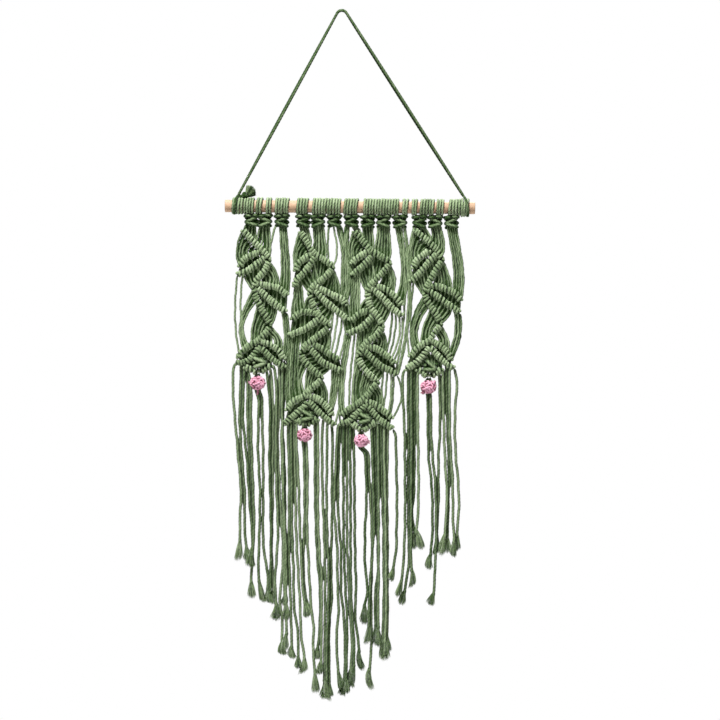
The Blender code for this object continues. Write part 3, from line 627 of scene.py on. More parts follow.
# The vines' charts.
# bars: (across, down) stations of each ridged bar, from the vine's centre line and the dowel.
# rows: plain strands from one bar to another: upper bar, first and last station there, lower
# bar, first and last station there, how many, how many squares the middle bows sideways, and
# how far back they lie (mm).
# fringe: bar, station, layer (0 in front), then columns and rows of the fringe chart down to
# the cut end. Its root "berry" is the pink knot, with station -1 left and 1 right.
# heads and knot are the places of the square knots, and the knot's third number its lean.
vineOne = {
    "name": "vine_1", "centre": -82, "heads": [-8, 5, 22], "knot": (0, 155.5, 0.0),
    "berry": (-2.4, 176),
    "bars": {
        "stem": [(-17, 23), (-6, 35), (8, 50), (6, 62), (-4, 75), (-5, 86), (1, 101), (8, 113),
                 (9, 122), (-1, 133), (-11, 139), (-19, 146), (-21, 152)],
        "left_1_upper": [(0, 44.5), (-8, 48), (-16, 53), (-20, 60)],
        "left_1_lower": [(3, 52), (-4, 58), (-13, 64), (-23, 68)],
        "right_1_upper": [(0, 77), (9, 79), (18, 81), (28, 89)],
        "right_1_lower": [(0, 83), (8, 91), (16, 98), (26, 105)],
        "last_upper": [(3, 135), (11, 138), (19, 144), (24, 153)],
        "chevron": [(-25, 156), (-13, 154), (-6, 148), (0, 141), (6, 146), (12, 152), (19, 157),
                    (25, 161)],
        "v_left": [(-16, 159), (-10, 162), (-4, 165)],
        "v_right": [(13, 158), (7, 161), (1, 165)],
    },
    "rows": [
        ("head_0", -0.4, 3, "stem", 0.1, 1.0, 4, -1, 0),
        ("head_1", 0, 3.4, "stem", 1.1, 2.1, 4, -1, 0),
        ("head_2", -0.4, -0.4, "stem", 2.3, 2.3, 1, -4, 0),
        ("head_2", 0.7, 3.2, "right_1_upper", 2.2, 3.0, 4, 0.5, 0),
        ("stem", 0.0, 1.7, "left_1_upper", 3.0, 0.2, 6, -3.5, 0.4),
        ("left_1_upper", 0.5, 2.8, "left_1_lower", 0.7, 2.8, 5, 0, 1.0),
        ("stem", 1.5, 2.2, "stem", 3.6, 2.9, 4, 0, 0.9),
        ("left_1_lower", 0.3, 2.4, "stem", 3.3, 5.0, 5, 0, 0.3),
        ("left_1_lower", 2.95, 2.4, "stem", 11.4, 10.4, 2, -3, 0),
        ("stem", 2.3, 3.6, "right_1_upper", 2.0, 0.3, 6, 3, 0.3),
        ("right_1_upper", 0.5, 2.9, "right_1_lower", 0.6, 2.9, 6, 0, 1.0),
        ("stem", 4.6, 5.5, "stem", 10.6, 10.0, 3, -8, 0),
        ("stem", 5.7, 7.4, "stem", 9.7, 8.5, 5, -1.5, 0.3),
        ("right_1_lower", 0.0, 2.0, "stem", 5.3, 7.8, 7, 2, 0.2),
        ("right_1_lower", 2.6, 3.1, "last_upper", 2.6, 3.2, 3, 3, 0),
        ("stem", 7.6, 8.3, "last_upper", 2.2, 1.2, 3, 4, 0),
        ("stem", 8.1, 8.6, "last_upper", 1.0, 0.3, 3, 1, 0.5),
    ],
    "fringe": [
        ("chevron", 0.0, 0, [(233, 375), (233.5, 400), (236, 430), (239, 465), (241, 490),
                             (240, 520), (240, 561)]),
        ("chevron", 0.5, 1, [(240.5, 385), (239.5, 420), (242, 460), (244.5, 495), (244.5, 525),
                             (246, 545), (249, 561)]),
        ("chevron", 0.85, 0, [(243.5, 390), (243, 420), (247, 460), (249.5, 500), (252, 530),
                              (252.5, 550), (251, 567)]),
        ("chevron", 1.2, 1, [(247.5, 390), (247.5, 420), (249, 460), (251, 500), (253, 530),
                             (252.5, 555), (251, 580), (253, 598.5)]),
        ("v_left", 0.2, 0, [(251, 388), (251, 420), (252, 460), (253.5, 500), (254, 530),
                            (251.5, 566)]),
        ("berry", -1, 0, [(258.5, 400), (258.5, 420), (258, 450), (260, 490), (259.5, 530),
                          (258.5, 570), (261, 603)]),
        ("berry", 1, 1, [(262, 400), (262, 420), (263, 450), (263, 500), (263, 540), (266, 565),
                         (268, 580), (266, 603)]),
        ("v_right", 1.1, 0, [(268, 385), (270, 400), (270, 430), (269.5, 460), (270.5, 500),
                             (271, 540), (270, 603)]),
        ("v_right", 0.6, 1, [(272, 390), (273, 420), (272.5, 460), (272.5, 500), (271.5, 550),
                             (273, 580), (274, 603)]),
        ("v_right", 0.0, 0, [(276.5, 395), (276, 430), (276, 465), (277, 500), (278, 530),
                             (276.5, 560), (275, 580), (277, 621)]),
        ("chevron", 6.0, 1, [(279.5, 400), (277.5, 440), (279, 480), (280.5, 510), (283, 550),
                             (281.5, 580), (279.5, 600), (282, 620), (281.5, 655)]),
        ("chevron", 6.7, 0, [(282, 410), (283, 470), (283, 500), (284, 550), (284.5, 590),
                             (287, 620)]),
        ("last_upper", 3.0, 1, [(285.5, 375), (284.5, 395), (282.5, 425), (284.5, 470),
                                (285, 520), (285.5, 560), (284.5, 606)]),
    ],
}

vineTwo = {
    "name": "vine_2", "centre": -28, "heads": [-10.5, 4, 20.5], "knot": (-6.5, 209, 0.15),
    "berry": (-9.3, 228),
    "bars": {
        "stem": [(-14, 24), (-7, 35), (0, 46), (9, 52), (18, 59), (16, 65), (8, 73), (-1, 80),
                 (-4, 88), (-1, 97), (5, 109), (14, 118), (12, 123), (-1, 133), (-10, 141),
                 (-12, 148), (-8, 156), (0, 164), (7, 170), (5, 175), (-3, 182), (-10, 189),
                 (-21, 195), (-27, 204)],
        "left_1_upper": [(-5, 49), (-11, 53), (-16, 58), (-18, 65)],
        "left_1_lower": [(-1, 53), (-6, 61), (-12, 68), (-17, 73), (-19, 80)],
        "right_1_upper": [(5, 81), (13, 85), (21, 89), (29, 93), (31, 99)],
        "right_1_lower": [(3, 85), (10, 93), (17, 99), (24, 105), (29, 109), (33.5, 114)],
        "left_2_upper": [(2, 106), (-6, 105), (-14, 106), (-22, 113)],
        "left_2_lower": [(2, 114), (-4, 119), (-11, 123), (-19, 126), (-25, 129)],
        "right_2_upper": [(1, 138), (7, 141), (14, 146), (25.5, 153)],
        "right_2_lower": [(-3, 142), (2, 148), (7, 154), (14, 158), (21, 161), (27.5, 164)],
        "last_upper": [(-4, 189), (4, 192), (11, 198), (16, 204), (18, 209)],
        "chevron": [(-30, 217), (-24, 212), (-17, 206), (-10, 200), (-5, 195), (1, 201),
                    (7, 207), (14, 213), (21, 218)],
        "v_left": [(-18, 212), (-14, 215), (-10, 217)],
        "v_right": [(5, 211), (0, 214), (-6, 217)],
    },
    "rows": [
        ("head_0", -0.2, 3, "stem", 0.2, 1.4, 4, -0.5, 0),
        ("head_1", -0.2, 3.6, "stem", 1.7, 3.2, 5, 0, 0),
        ("head_2", -0.3, -0.3, "stem", 3.5, 3.5, 1, -2.5, 0),
        ("head_2", 1.0, 1.0, "stem", 4.1, 4.1, 1, 2.5, 0),
        ("head_2", 2.3, 4.4, "right_1_upper", 2.6, 4.0, 5, 5, 0),
        ("stem", 0.0, 1.9, "left_1_upper", 3.0, 0.2, 6, -3, 0.4),
        ("left_1_upper", 0.5, 2.8, "left_1_lower", 0.8, 3.4, 5, 0, 1.0),
        ("stem", 2.1, 3.9, "stem", 6.9, 5.2, 6, 0.5, 0.9),
        ("left_1_lower", 0.3, 2.5, "stem", 6.3, 7.8, 5, 0, 0.3),
        ("stem", 4.3, 5.7, "right_1_upper", 2.5, 0.3, 6, 2, 0.3),
        ("right_1_upper", 0.5, 3.8, "right_1_lower", 0.5, 3.8, 7, 0, 1.0),
        ("left_1_lower", 4.0, 2.2, "left_2_upper", 3.0, 1.4, 5, -0.5, 0),
        ("stem", 8.0, 9.2, "left_2_upper", 1.3, 0.2, 3, -2, 0.3),
        ("right_1_lower", 0.0, 2.3, "stem", 8.3, 10.9, 7, 1, 0.2),
        ("left_2_upper", 0.3, 2.9, "left_2_lower", 0.4, 3.6, 6, 0, 1.0),
        ("stem", 9.6, 11.2, "stem", 13.5, 12.3, 5, 0, 0.9),
        ("left_2_lower", 0.3, 2.3, "stem", 12.6, 14.2, 5, 0, 0.3),
        ("stem", 11.7, 12.9, "right_2_upper", 2.0, 0.3, 5, 2, 0.3),
        ("right_1_lower", 2.4, 3.0, "right_2_upper", 1.9, 2.3, 2, 0.5, 0),
        ("right_1_lower", 3.9, 4.9, "right_2_upper", 2.6, 3.0, 2, 1, 0),
        ("right_2_upper", 0.4, 3.0, "right_2_lower", 0.8, 4.7, 7, 0, 1.0),
        ("left_2_lower", 4.0, 2.4, "stem", 22.9, 21.4, 6, -1.5, 0),
        ("stem", 15.0, 16.2, "stem", 21.6, 20.8, 3, -4, 0),
        ("stem", 16.3, 17.7, "stem", 20.8, 19.5, 5, 0, 0.3),
        ("right_2_lower", 0.0, 3.3, "stem", 14.9, 17.9, 8, 1, 0.2),
        ("right_2_lower", 3.6, 4.7, "last_upper", 2.6, 3.6, 4, 1, 0),
        ("right_2_lower", 5.0, 5.0, "chevron", 8.0, 8.0, 1, 3, 0),
        ("stem", 18.3, 19.8, "last_upper", 2.2, 0.3, 5, 2, 0.3),
    ],
    "fringe": [
        ("chevron", 0.0, 0, [(281.5, 432), (282, 450), (282.5, 480), (284.5, 520), (286, 560),
                             (286, 600), (287, 652)]),
        ("chevron", 0.7, 1, [(288, 440), (289, 470), (289, 520), (289, 560), (290.5, 600),
                             (291.5, 640), (292, 659)]),
        ("chevron", 1.15, 0, [(291, 445), (291.5, 480), (292, 530), (293.5, 570), (294, 605),
                              (298, 635), (298, 669)]),
        ("chevron", 1.55, 1, [(294, 445), (295, 480), (296, 530), (298, 570), (300, 605),
                              (301, 635), (304, 655), (304.6, 673)]),
        ("v_left", 0.1, 0, [(296.5, 445), (298.5, 480), (299.5, 520), (301.5, 560),
                            (302.5, 585), (307, 618)]),
        ("berry", -1, 1, [(303.8, 455), (304.5, 480), (304.5, 520), (303.5, 545), (303.5, 575),
                          (306, 600), (309, 617)]),
        ("berry", 1, 0, [(307, 455), (307.5, 480), (307, 525), (308.5, 560), (310, 590),
                         (312, 615), (314, 630), (313, 645), (315.5, 680), (317.5, 693)]),
        ("v_right", 0.9, 1, [(315, 450), (315, 490), (316, 530), (317.5, 560), (320, 590),
                             (319.5, 630), (316, 660)]),
        ("v_right", 0.3, 0, [(318, 445), (318, 480), (318, 520), (320, 560), (321.5, 580),
                             (321, 674.5)]),
        ("chevron", 6.5, 1, [(322, 440), (322.5, 490), (324, 530), (325, 570), (325, 610),
                             (324.5, 650), (324, 699)]),
        ("chevron", 7.0, 0, [(327, 435), (327, 460), (326.5, 490), (327, 530), (328.5, 570),
                             (328, 610), (326.5, 650), (327, 700.5)]),
        ("chevron", 7.5, 1, [(332.5, 440), (332, 480), (332, 520), (331, 560), (331.5, 600),
                             (329, 630), (329.5, 698)]),
    ],
}

vineThree = {
    "name": "vine_3", "centre": 30, "heads": [-20.3, -3.9, 11.6, 28], "knot": (-7, 211.5, 0.1),
    "berry": (-10.6, 233.6),
    "bars": {
        "stem": [(-18, 24), (-10, 33), (-2, 43), (8, 49), (17, 55), (14, 62), (6, 71), (-3, 81),
                 (-4, 90), (-1, 101), (6, 110), (10, 119), (6, 127), (-4, 135), (-11, 144),
                 (-13, 151), (-9, 160), (-2, 168), (5, 175), (0, 182), (-6, 190), (-16, 198),
                 (-23, 202), (-31, 208.5)],
        "left_1_upper": [(-5, 45), (-11, 49), (-17, 53), (-20, 58)],
        "left_1_lower": [(-2, 51), (-6, 56), (-11, 61), (-16, 65), (-20, 69)],
        "right_1_upper": [(7, 80), (13, 82), (19, 86), (24, 90), (30, 99)],
        "right_1_lower": [(2, 83), (8, 88), (13, 93), (19, 100), (25, 105), (30, 109)],
        "left_2_upper": [(-3, 104), (-9, 105), (-15, 109), (-22, 115)],
        "left_2_lower": [(-1, 111), (-6, 117), (-11, 121), (-17, 124), (-25, 127)],
        "right_2_upper": [(-2, 140), (5, 142), (12, 147), (18, 151), (23, 157)],
        "right_2_lower": [(-7, 144), (-2, 149), (4, 155), (10, 160), (17, 163), (25, 168)],
        "last_upper": [(-4, 195), (2, 197), (9, 202), (16, 207), (20, 212)],
        "chevron": [(-32.5, 216), (-24, 215), (-17, 208), (-10, 202), (-5, 198), (1, 205),
                    (7, 212), (14, 217), (21, 222)],
        "v_left": [(-20, 216), (-16, 219), (-12, 222)],
        "v_right": [(5, 214), (-1, 218), (-8, 222.5)],
    },
    "rows": [
        ("head_0", -1.4, -0.3, "left_2_lower", 4.1, 3.3, 3, -4.0, -0.4),
        ("head_0", -0.6, 0.5, "left_1_lower", 4.0, 3.2, 3, -2.5, 0),
        ("head_0", 1.2, 3.2, "stem", 0.1, 1.0, 3, 0, 0),
        ("head_1", -0.2, 3.5, "stem", 1.1, 2.3, 4, -1, 0),
        ("head_2", -0.8, 3.9, "stem", 2.4, 3.9, 6, 0, 0),
        ("head_3", -0.4, 1.4, "right_1_upper", 3.1, 4.0, 3, 4, 0),
        ("head_3", 2.1, 2.1, "right_2_lower", 4.8, 4.8, 1, 5, 0.5),
        ("head_3", 2.9, 3.4, "right_2_lower", 5.0, 5.1, 2, 8, 0.3),
        ("stem", 0.0, 1.9, "left_1_upper", 3.0, 0.2, 6, -3, 0.4),
        ("left_1_upper", 0.4, 2.8, "left_1_lower", 0.7, 3.4, 5, 0, 1.0),
        ("stem", 2.1, 3.9, "stem", 6.9, 5.2, 6, 0.5, 0.9),
        ("left_1_lower", 0.3, 2.6, "stem", 6.2, 7.7, 5, 0, 0.3),
        ("stem", 4.2, 5.7, "right_1_upper", 2.4, 0.3, 6, 3, 0.3),
        ("right_1_upper", 0.4, 3.8, "right_1_lower", 0.7, 4.6, 7, 0, 1.0),
        ("left_1_lower", 3.9, 2.2, "left_2_upper", 2.9, 1.4, 5, -0.5, 0),
        ("stem", 8.0, 9.1, "left_2_upper", 1.3, 0.2, 3, -2, 0.3),
        ("right_1_lower", 0.0, 2.9, "stem", 8.1, 10.9, 8, 1, 0.2),
        ("left_2_upper", 0.3, 2.8, "left_2_lower", 0.4, 3.6, 6, 0, 1.0),
        ("stem", 9.6, 11.0, "stem", 13.4, 12.2, 5, 0, 0.9),
        ("left_2_lower", 0.3, 2.5, "stem", 12.4, 14.3, 5, 0, 0.3),
        ("stem", 11.3, 12.6, "right_2_upper", 2.0, 0.3, 5, 3, 0.3),
        ("right_1_lower", 3.2, 3.8, "right_2_upper", 2.3, 2.8, 2, 2, 0),
        ("right_1_lower", 4.3, 5.0, "right_2_upper", 3.2, 3.7, 2, 4, 0),
        ("right_2_upper", 0.4, 3.7, "right_2_lower", 1.0, 4.8, 7, 0, 1.0),
        ("left_2_lower", 4.0, 4.0, "chevron", 0.1, 0.1, 1, -4, 0),
        ("left_2_lower", 4.0, 3.5, "stem", 23.1, 22.6, 3, -3, 0),
        ("left_2_lower", 3.0, 3.0, "stem", 21.9, 21.9, 1, -1.5, 0),
        ("left_2_lower", 2.5, 2.1, "stem", 21.5, 21.0, 2, -0.5, 0),
        ("stem", 15.0, 16.4, "stem", 21.2, 20.4, 3, -3, 0),
        ("stem", 16.5, 17.8, "stem", 20.4, 19.4, 5, -1, 0.3),
        ("right_2_lower", 0.0, 3.3, "stem", 14.9, 18.0, 8, 1, 0.2),
        ("right_2_lower", 3.2, 3.8, "last_upper", 1.8, 2.3, 2, 0.5, 0),
        ("right_2_lower", 4.3, 4.6, "last_upper", 3.1, 3.5, 2, 1, 0),
        ("right_2_lower", 5.0, 5.0, "last_upper", 4.0, 4.0, 1, 7.5, 0),
        ("stem", 18.3, 19.7, "last_upper", 2.0, 0.3, 5, 3, 0.3),
    ],
    "fringe": [
        ("chevron", 0.0, 0, [(336.5, 450), (335, 480), (334, 510), (337, 545), (337.5, 580),
                             (338.5, 610), (336.5, 640), (338.5, 675), (340, 690)]),
        ("chevron", 0.3, 1, [(339, 450), (338, 490), (338.5, 520), (341, 550), (341, 590),
                             (344, 620), (345, 660), (343, 696)]),
        ("chevron", 0.6, 0, [(343, 450), (343.5, 490), (343.5, 530), (345, 580), (347, 620),
                             (346.5, 660), (345.5, 694)]),
        ("chevron", 0.95, 1, [(346.5, 450), (347, 490), (347, 540), (348.5, 580), (350, 615),
                              (352, 645), (349.5, 688)]),
        ("chevron", 1.3, 0, [(350, 450), (350.5, 490), (350.5, 540), (351, 590), (352.5, 620),
                             (354, 645), (353.5, 686)]),
        ("v_left", 0.2, 1, [(354, 455), (354.5, 500), (355, 550), (356, 590), (355, 615),
                            (358, 640), (361, 672)]),
        ("berry", -1, 0, [(364.8, 455), (366, 475), (366.5, 500), (365, 530), (365, 565),
                          (367.5, 590), (364, 607), (361.5, 624.5)]),
        ("berry", 1, 1, [(368.3, 455), (369, 475), (371, 510), (372, 540), (371.5, 575),
                         (371, 600), (371.5, 640), (370, 665), (367.5, 690)]),
        ("v_right", 1.0, 0, [(372, 445), (373, 480), (374, 520), (372.5, 550), (370, 585),
                             (369, 610), (368.5, 644)]),
        ("v_right", 0.5, 1, [(375, 450), (376, 490), (377.5, 540), (378, 570), (375, 600),
                             (376.5, 645)]),
        ("v_right", 0.0, 0, [(378, 450), (378.5, 490), (378.5, 540), (378.5, 580), (378, 610),
                             (379, 648)]),
        ("chevron", 6.3, 1, [(381, 450), (382, 490), (383.5, 530), (383.5, 565), (384, 590),
                             (382, 661)]),
        ("chevron", 6.8, 0, [(384, 455), (385, 490), (385.5, 540), (386, 580), (386, 610),
                             (384, 657)]),
        ("chevron", 7.3, 1, [(387.5, 450), (387, 490), (387.5, 540), (387.5, 580), (387.5, 620),
                             (386, 652)]),
        ("chevron", 8.0, 0, [(395.5, 436), (396, 450), (396.5, 475), (397, 500), (396.5, 530),
                             (396, 550), (391, 581)]),
    ],
}

vineFour = {
    "name": "vine_4", "centre": 92, "heads": [-14.2, 1.3, 17.6], "knot": (-3.5, 160, 0.35),
    "berry": (-5.3, 179.8),
    "bars": {
        "stem": [(-20, 22), (-12, 29), (-3, 37), (4, 45), (8, 53), (4, 60), (-2, 71), (-8, 83),
                 (-8, 91), (-3, 100), (3, 109), (6, 118), (1, 125), (-4, 133), (-14, 139),
                 (-20, 145), (-24, 151)],
        "left_1_upper": [(-8, 46), (-13, 50), (-18, 55), (-20, 62)],
        "left_1_lower": [(1, 49), (-4, 54), (-9, 60), (-14, 66), (-19, 71), (-23, 75)],
        "right_1_upper": [(-3, 79), (2, 79), (9, 81), (16, 84), (22, 87), (27, 94)],
        "right_1_lower": [(-4, 84), (0, 87), (6, 91), (12, 96), (18, 100), (26, 106)],
        "last_upper": [(0, 135), (5, 138), (10, 142), (15, 148), (17, 154)],
        "chevron": [(-29, 162), (-23, 159), (-17, 155), (-11, 149), (-4, 141), (3, 148),
                    (8, 153), (14, 158), (20, 161)],
        "v_left": [(-17, 162), (-12, 165), (-7, 169)],
        "v_right": [(9, 161), (4, 165), (-2, 169)],
    },
    "rows": [
        ("head_0", -0.9, -0.2, "left_1_lower", 5.0, 4.3, 2, -3, 0),
        ("head_0", 0, 3, "stem", 0.2, 1.8, 4, 1, 0),
        ("head_1", -0.2, 4.0, "stem", 1.9, 3.6, 5, 1, 0),
        ("head_2", -0.2, 3.4, "right_1_upper", 3.5, 5.0, 5, 2, 0),
        ("stem", 0.0, 2.4, "left_1_upper", 3.0, 0.2, 6, -3, 0.4),
        ("left_1_upper", 0.4, 2.8, "left_1_lower", 1.2, 4.2, 5, 0, 1.0),
        ("stem", 1.8, 3.4, "stem", 6.0, 4.7, 5, 0.5, 0.9),
        ("left_1_lower", 0.3, 4.2, "stem", 4.9, 8.2, 8, 0, 0.3),
        ("left_1_lower", 5.0, 4.2, "stem", 16.0, 15.1, 2, -3, 0),
        ("stem", 3.9, 5.7, "right_1_upper", 3.2, 0.6, 6, 2, 0.3),
        ("right_1_upper", 0.6, 4.9, "right_1_lower", 0.8, 4.9, 8, 0, 1.0),
        ("stem", 7.4, 8.8, "stem", 15.0, 14.0, 4, -6, 0),
        ("stem", 9.1, 10.5, "stem", 13.8, 12.6, 4, -2, 0.3),
        ("right_1_lower", 0.0, 4.0, "stem", 8.1, 11.0, 8, 1.5, 0.2),
        ("right_1_lower", 4.3, 5.1, "last_upper", 2.9, 4.1, 3, 4, 0),
        ("stem", 10.9, 12.1, "last_upper", 2.7, 0.9, 4, 3, 0.3),
    ],
    "fringe": [
        ("chevron", 0.0, 0, [(402.5, 378), (403, 400), (404.5, 430), (405, 470), (405, 520),
                             (403.5, 560), (401, 583), (396, 597)]),
        ("chevron", 0.7, 1, [(408, 400), (408.5, 440), (408, 480), (408.5, 530), (409, 560),
                             (406, 583), (402.5, 605.5)]),
        ("chevron", 1.1, 0, [(411, 400), (411.5, 440), (411, 480), (411, 530), (411, 560),
                             (413, 587.5)]),
        ("chevron", 1.6, 1, [(414, 400), (414.5, 440), (414, 490), (412, 515), (415, 535),
                             (414, 550)]),
        ("v_left", 0.2, 0, [(417.5, 400), (418, 440), (418.5, 490), (417.5, 520), (416, 535),
                            (419.5, 550)]),
        ("berry", -1, 1, [(427.8, 400), (428, 430), (429, 460), (432, 490), (432.5, 530),
                          (431, 550), (429.5, 569.5)]),
        ("berry", 1, 0, [(430.8, 400), (431, 430), (432.5, 455), (435.5, 490), (436, 540),
                         (435, 565), (434, 590), (431.5, 605.5)]),
        ("v_right", 0.9, 1, [(440, 400), (440, 430), (438.5, 460), (438.5, 500), (437, 530),
                             (437, 555)]),
        ("v_right", 0.1, 0, [(443, 400), (444, 430), (445, 460), (447, 495), (446, 515),
                             (444.5, 540), (443, 556)]),
        ("chevron", 6.7, 1, [(446.5, 400), (448, 440), (449, 475), (448.5, 500), (447, 553)]),
        ("chevron", 7.3, 0, [(449.5, 400), (450, 440), (452.5, 480), (453, 520), (454, 540),
                             (451, 556)]),
        ("chevron", 8.0, 1, [(455.5, 373), (457, 385), (455, 415), (455.5, 450), (458, 480),
                             (459, 505), (457, 535), (456, 552)]),
    ],
}

vines = (vineOne, vineTwo, vineThree, vineFour)

# Rows that every vine's last leaf has. A minus station on a bar counts back from its end.
lastLeafRows = [
    ("stem", -3.4, -0.4, "chevron", 2.5, 0.5, 6, 0, 1.0),
    ("last_upper", 0.2, -0.3, "chevron", -3.9, -0.6, 7, 0, 1.0),
    ("chevron", 1.0, 2.0, "v_left", 0.2, 1.3, 3, 0, 0.6),
    ("chevron", -2.3, -3.3, "v_right", 0.2, 1.3, 3, 0, 0.6),
    ("chevron", 2.6, -4.3, "knot", 0, 3, 4, 0, 0.6),
    ("chevron", 1.2, 2.6, "knot", -1, 0.6, 4, 0, 1.4),
    ("chevron", -2.2, -3.6, "knot", 4, 2.4, 4, 0, 1.4),
    ("knot", 0, 1, "v_left", 1.5, 1.9, 2, 0, 0.4),
    ("knot", 3, 2, "v_right", 1.5, 1.9, 2, 0, 0.4),
]


def chartPlace(vine, across, down, y):
    return Vector(((vine["centre"] + across) * cell, y, -dowelDrop - down * cell))


# Ridged bars. A cord is wound round each bar's core: coil is the radius of its turns, pitch
# the length of one, and pairing draws two turns together into a knot. Leaf bars reach in under
# the stem, and v bars reach on at their tips, so that they meet what they are tied to.
bar = {
    "y": -0.0014, "leafBack": 0.0005, "stemCoil": 0.0024, "leafCoil": 0.0025,
    "pitch": 0.0039, "perTurn": 16, "pairing": 0.12, "uneven": 0.16, "unevenWave": 1.7,
    "wire": 1.16, "girth": (0.86, 1.10), "swell": (-0.00038, 0.00030),
    "taper": 0.0022, "taperTo": 0.62, "reachIn": 0.0058, "reachTip": 0.0022,
    # The core under a bar's turns is painted near black, as painted shade between the turns.
    "tones": (0.48, 0.68), "seat_shade": 0.8, "lineStep": 0.0003, "core": 1.35, "coreShadeTone": 0.05,
    # The backing strand behind each bar is painted dark, as painted shade behind the bar.
    "backing": 1.4, "backingShadeTone": 0.2, "backingDepth": 0.0012,
}
longBars = ("stem", "chevron")
zigzag = {"step": 0.0004, "look": 6, "apart": 12}  # look and apart count points
# Strands behind each leaf, from its upper bar to its lower one.
lining = {"count": 8, "reach": 0.9, "inset": 0.12, "depth": 0.0056, "size": 1.25, "tone": 0.62,
          "seat_shade": 0.68}


def barCourses(vine):
    courses = {}
    for name, stations in vine["bars"].items():
        y = bar["y"] + (0.0 if name in longBars else bar["leafBack"])
        placed = [chartPlace(vine, across, down, y) for across, down in stations]
        if name.startswith("v_"):
            placed[-1] += (placed[-1] - placed[-2]).normalized() * bar["reachTip"]
        elif name not in longBars:
            placed[0] += (placed[0] - placed[1]).normalized() * bar["reachIn"]
        courses[name] = placed
    return courses


# A zigzag stem is a new bar wherever it turns back.
def legsOf(points):
    fine = evenCourse(points, zigzag["step"])
    look, apart = zigzag["look"], zigzag["apart"]
    cuts = [0]
    for k in range(apart, len(fine) - apart):
        before = fine[k].x - fine[k - look].x
        after = fine[k + look].x - fine[k].x
        if before * after < 0 and k - cuts[-1] > apart:
            cuts.append(k)
    cuts.append(len(fine) - 1)
    return [fine[a:b + 1] for a, b in zip(cuts, cuts[1:])]


# The place and the way of an even line at a length along it.
def pointOn(points, along):
    step = (points[1] - points[0]).length
    k = min(len(points) - 2, int(along / step))
    t = min(1.0, along / step - k)
    way = points[min(len(points) - 1, k + 3)] - points[max(0, k - 3)]
    return points[k].lerp(points[k + 1], t), way.normalized()


def valueAt(values, u):
    k = int(u)
    return values[k] + (values[k + 1] - values[k]) * (u - k)


def windBar(core, coil):
    total = lengthOf(core)
    hand = 1 if core[-1].x > core[0].x else -1
    count = 2 * max(1, round(total / (2 * bar["pitch"])))
    swell = [random.uniform(*bar["swell"]) for _ in range(count + 2)]
    girth = [bar["wire"] * random.uniform(*bar["girth"]) for _ in range(count + 2)]
    phase = anyPhase()
    tone = random.uniform(*bar["tones"])
    course, axis, sizes = [], [], []
    for i in range(count * bar["perTurn"] + 1):
        u = i / bar["perTurn"]
        shift = u + bar["pairing"] * math.sin(math.pi * u) / math.pi
        shift += bar["uneven"] * math.sin(bar["unevenWave"] * u + phase)
        along = total * min(1.0, max(0.0, shift / count))
        place, way = pointOn(core, along)
        side = Vector((way.z, 0, -way.x)) * hand
        ease = min(1.0, along / bar["taper"], (total - along) / bar["taper"])
        reach = coil * (bar["taperTo"] + (1 - bar["taperTo"]) * ease ** 0.5) + valueAt(swell, u)
        angle = 2 * math.pi * u - math.pi / 2
        course.append(place + reach * (math.cos(angle) * side
                                       + math.sin(angle) * Vector((0, 1, 0))))
        axis.append(place)
        sizes.append(valueAt(girth, u))
    return strand(course, tone, sizes=sizes, around=axis, seat_shade=bar["seat_shade"])


def leafLining(upper, lower):
    made = []
    deep = Vector((0, lining["depth"], 0))
    for k in range(lining["count"]):
        top, foot = (courseAt(points, (len(points) - 1) * lining["reach"] * k
                              / (lining["count"] - 1)) for points in (upper, lower))
        ends = [top.lerp(foot, lining["inset"]), top.lerp(foot, 1 - lining["inset"])]
        course = [p + deep for p in evenLine(ends, plainYarn["step"])]
        made.append(strand(course, lining["tone"], lining["size"], plainYarn,
                           seat_shade=lining["seat_shade"], behind=True))
    return made


def makeBars(vine, courses):
    made, hidden = [], []
    deep = Vector((0, bar["backingDepth"], 0))
    for name, points in courses.items():
        coil = bar["stemCoil"] if name in longBars else bar["leafCoil"]
        for leg in legsOf(points):
            made.append(windBar(evenLine(leg, bar["lineStep"]), coil))
            hidden.append(strand(evenLine(leg, plainYarn["step"]), bar["coreShadeTone"], bar["core"],
                                 plainYarn))
        back = [p + deep for p in evenCourse(points, plainYarn["step"])]
        hidden.append(strand(back, bar["backingShadeTone"], bar["backing"], plainYarn))
        lower = name.replace("_upper", "_lower")
        if name != lower and lower in courses:
            hidden += leafLining(points, courses[lower])
    spinFor(vine["name"], "_bars", made)
    return hidden


# Square knots: a head with a ridge over it wherever cords hang from the dowel, and one knot in
# the middle of the vine's last leaf.
# Head knots and their ridges are painted darker than the leaf knots, as painted shade under the
# dowel.
headKnot = {
    "top": 0.0108, "bottom": 0.0232, "drop": 0.0013, "half": 0.0064, "height": 0.0112,
    "size": 1.3, "tones": (0.36, 0.56), "lean": 0.08, "strandReach": 0.0062,
    "ridgeHalf": 0.0082, "ridgeOut": 0.0052, "ridgeSize": 1.2, "ridgeFall": 0.0007,
    "ridgeSlope": 0.0004,
}
# What closes a head from behind: one strand across, under the ridge, and short upright ones.
headBack = {
    # The strand across is painted dark, as painted shade under the ridge.
    "across": {"half": 0.0072, "y": 0.0006, "rise": 0.0002, "tone": 0.25, "size": 1.3,
               "seat_shade": 0.5},
    "upright": {"asides": (-0.0048, -0.0016, 0.0016, 0.0048), "top": 0.0095, "tone": 0.6,
                "seat_shade": 0.66},
}
leafKnot = {"y": -0.0016, "half": 0.0060, "height": 0.0120, "size": 1.5, "tones": (0.6, 0.8)}
# A square knot's two cores, which lie behind its cords, are painted near black, as painted shade.
knotParts = {"coreBack": 0.0022, "coreAside": 0.45, "coreReach": 0.4, "coreShadeTone": 0.05,
             "coreSize": 1.7, "passDepth": 0.0029, "heldAside": 0.0015, "heldY": -0.0002,
             "heldReach": 0.55, "heldTone": 0.4, "lineStep": 0.0012, "passStep": 0.0010}
# Half of a ridge, from the middle outwards: shares of its half width and of its reach.
ridgePath = [(0.02, 0.55), (0.16, -0.62), (0.42, -1.0), (0.72, -0.92), (0.96, -0.35), (1.0, 0.6)]
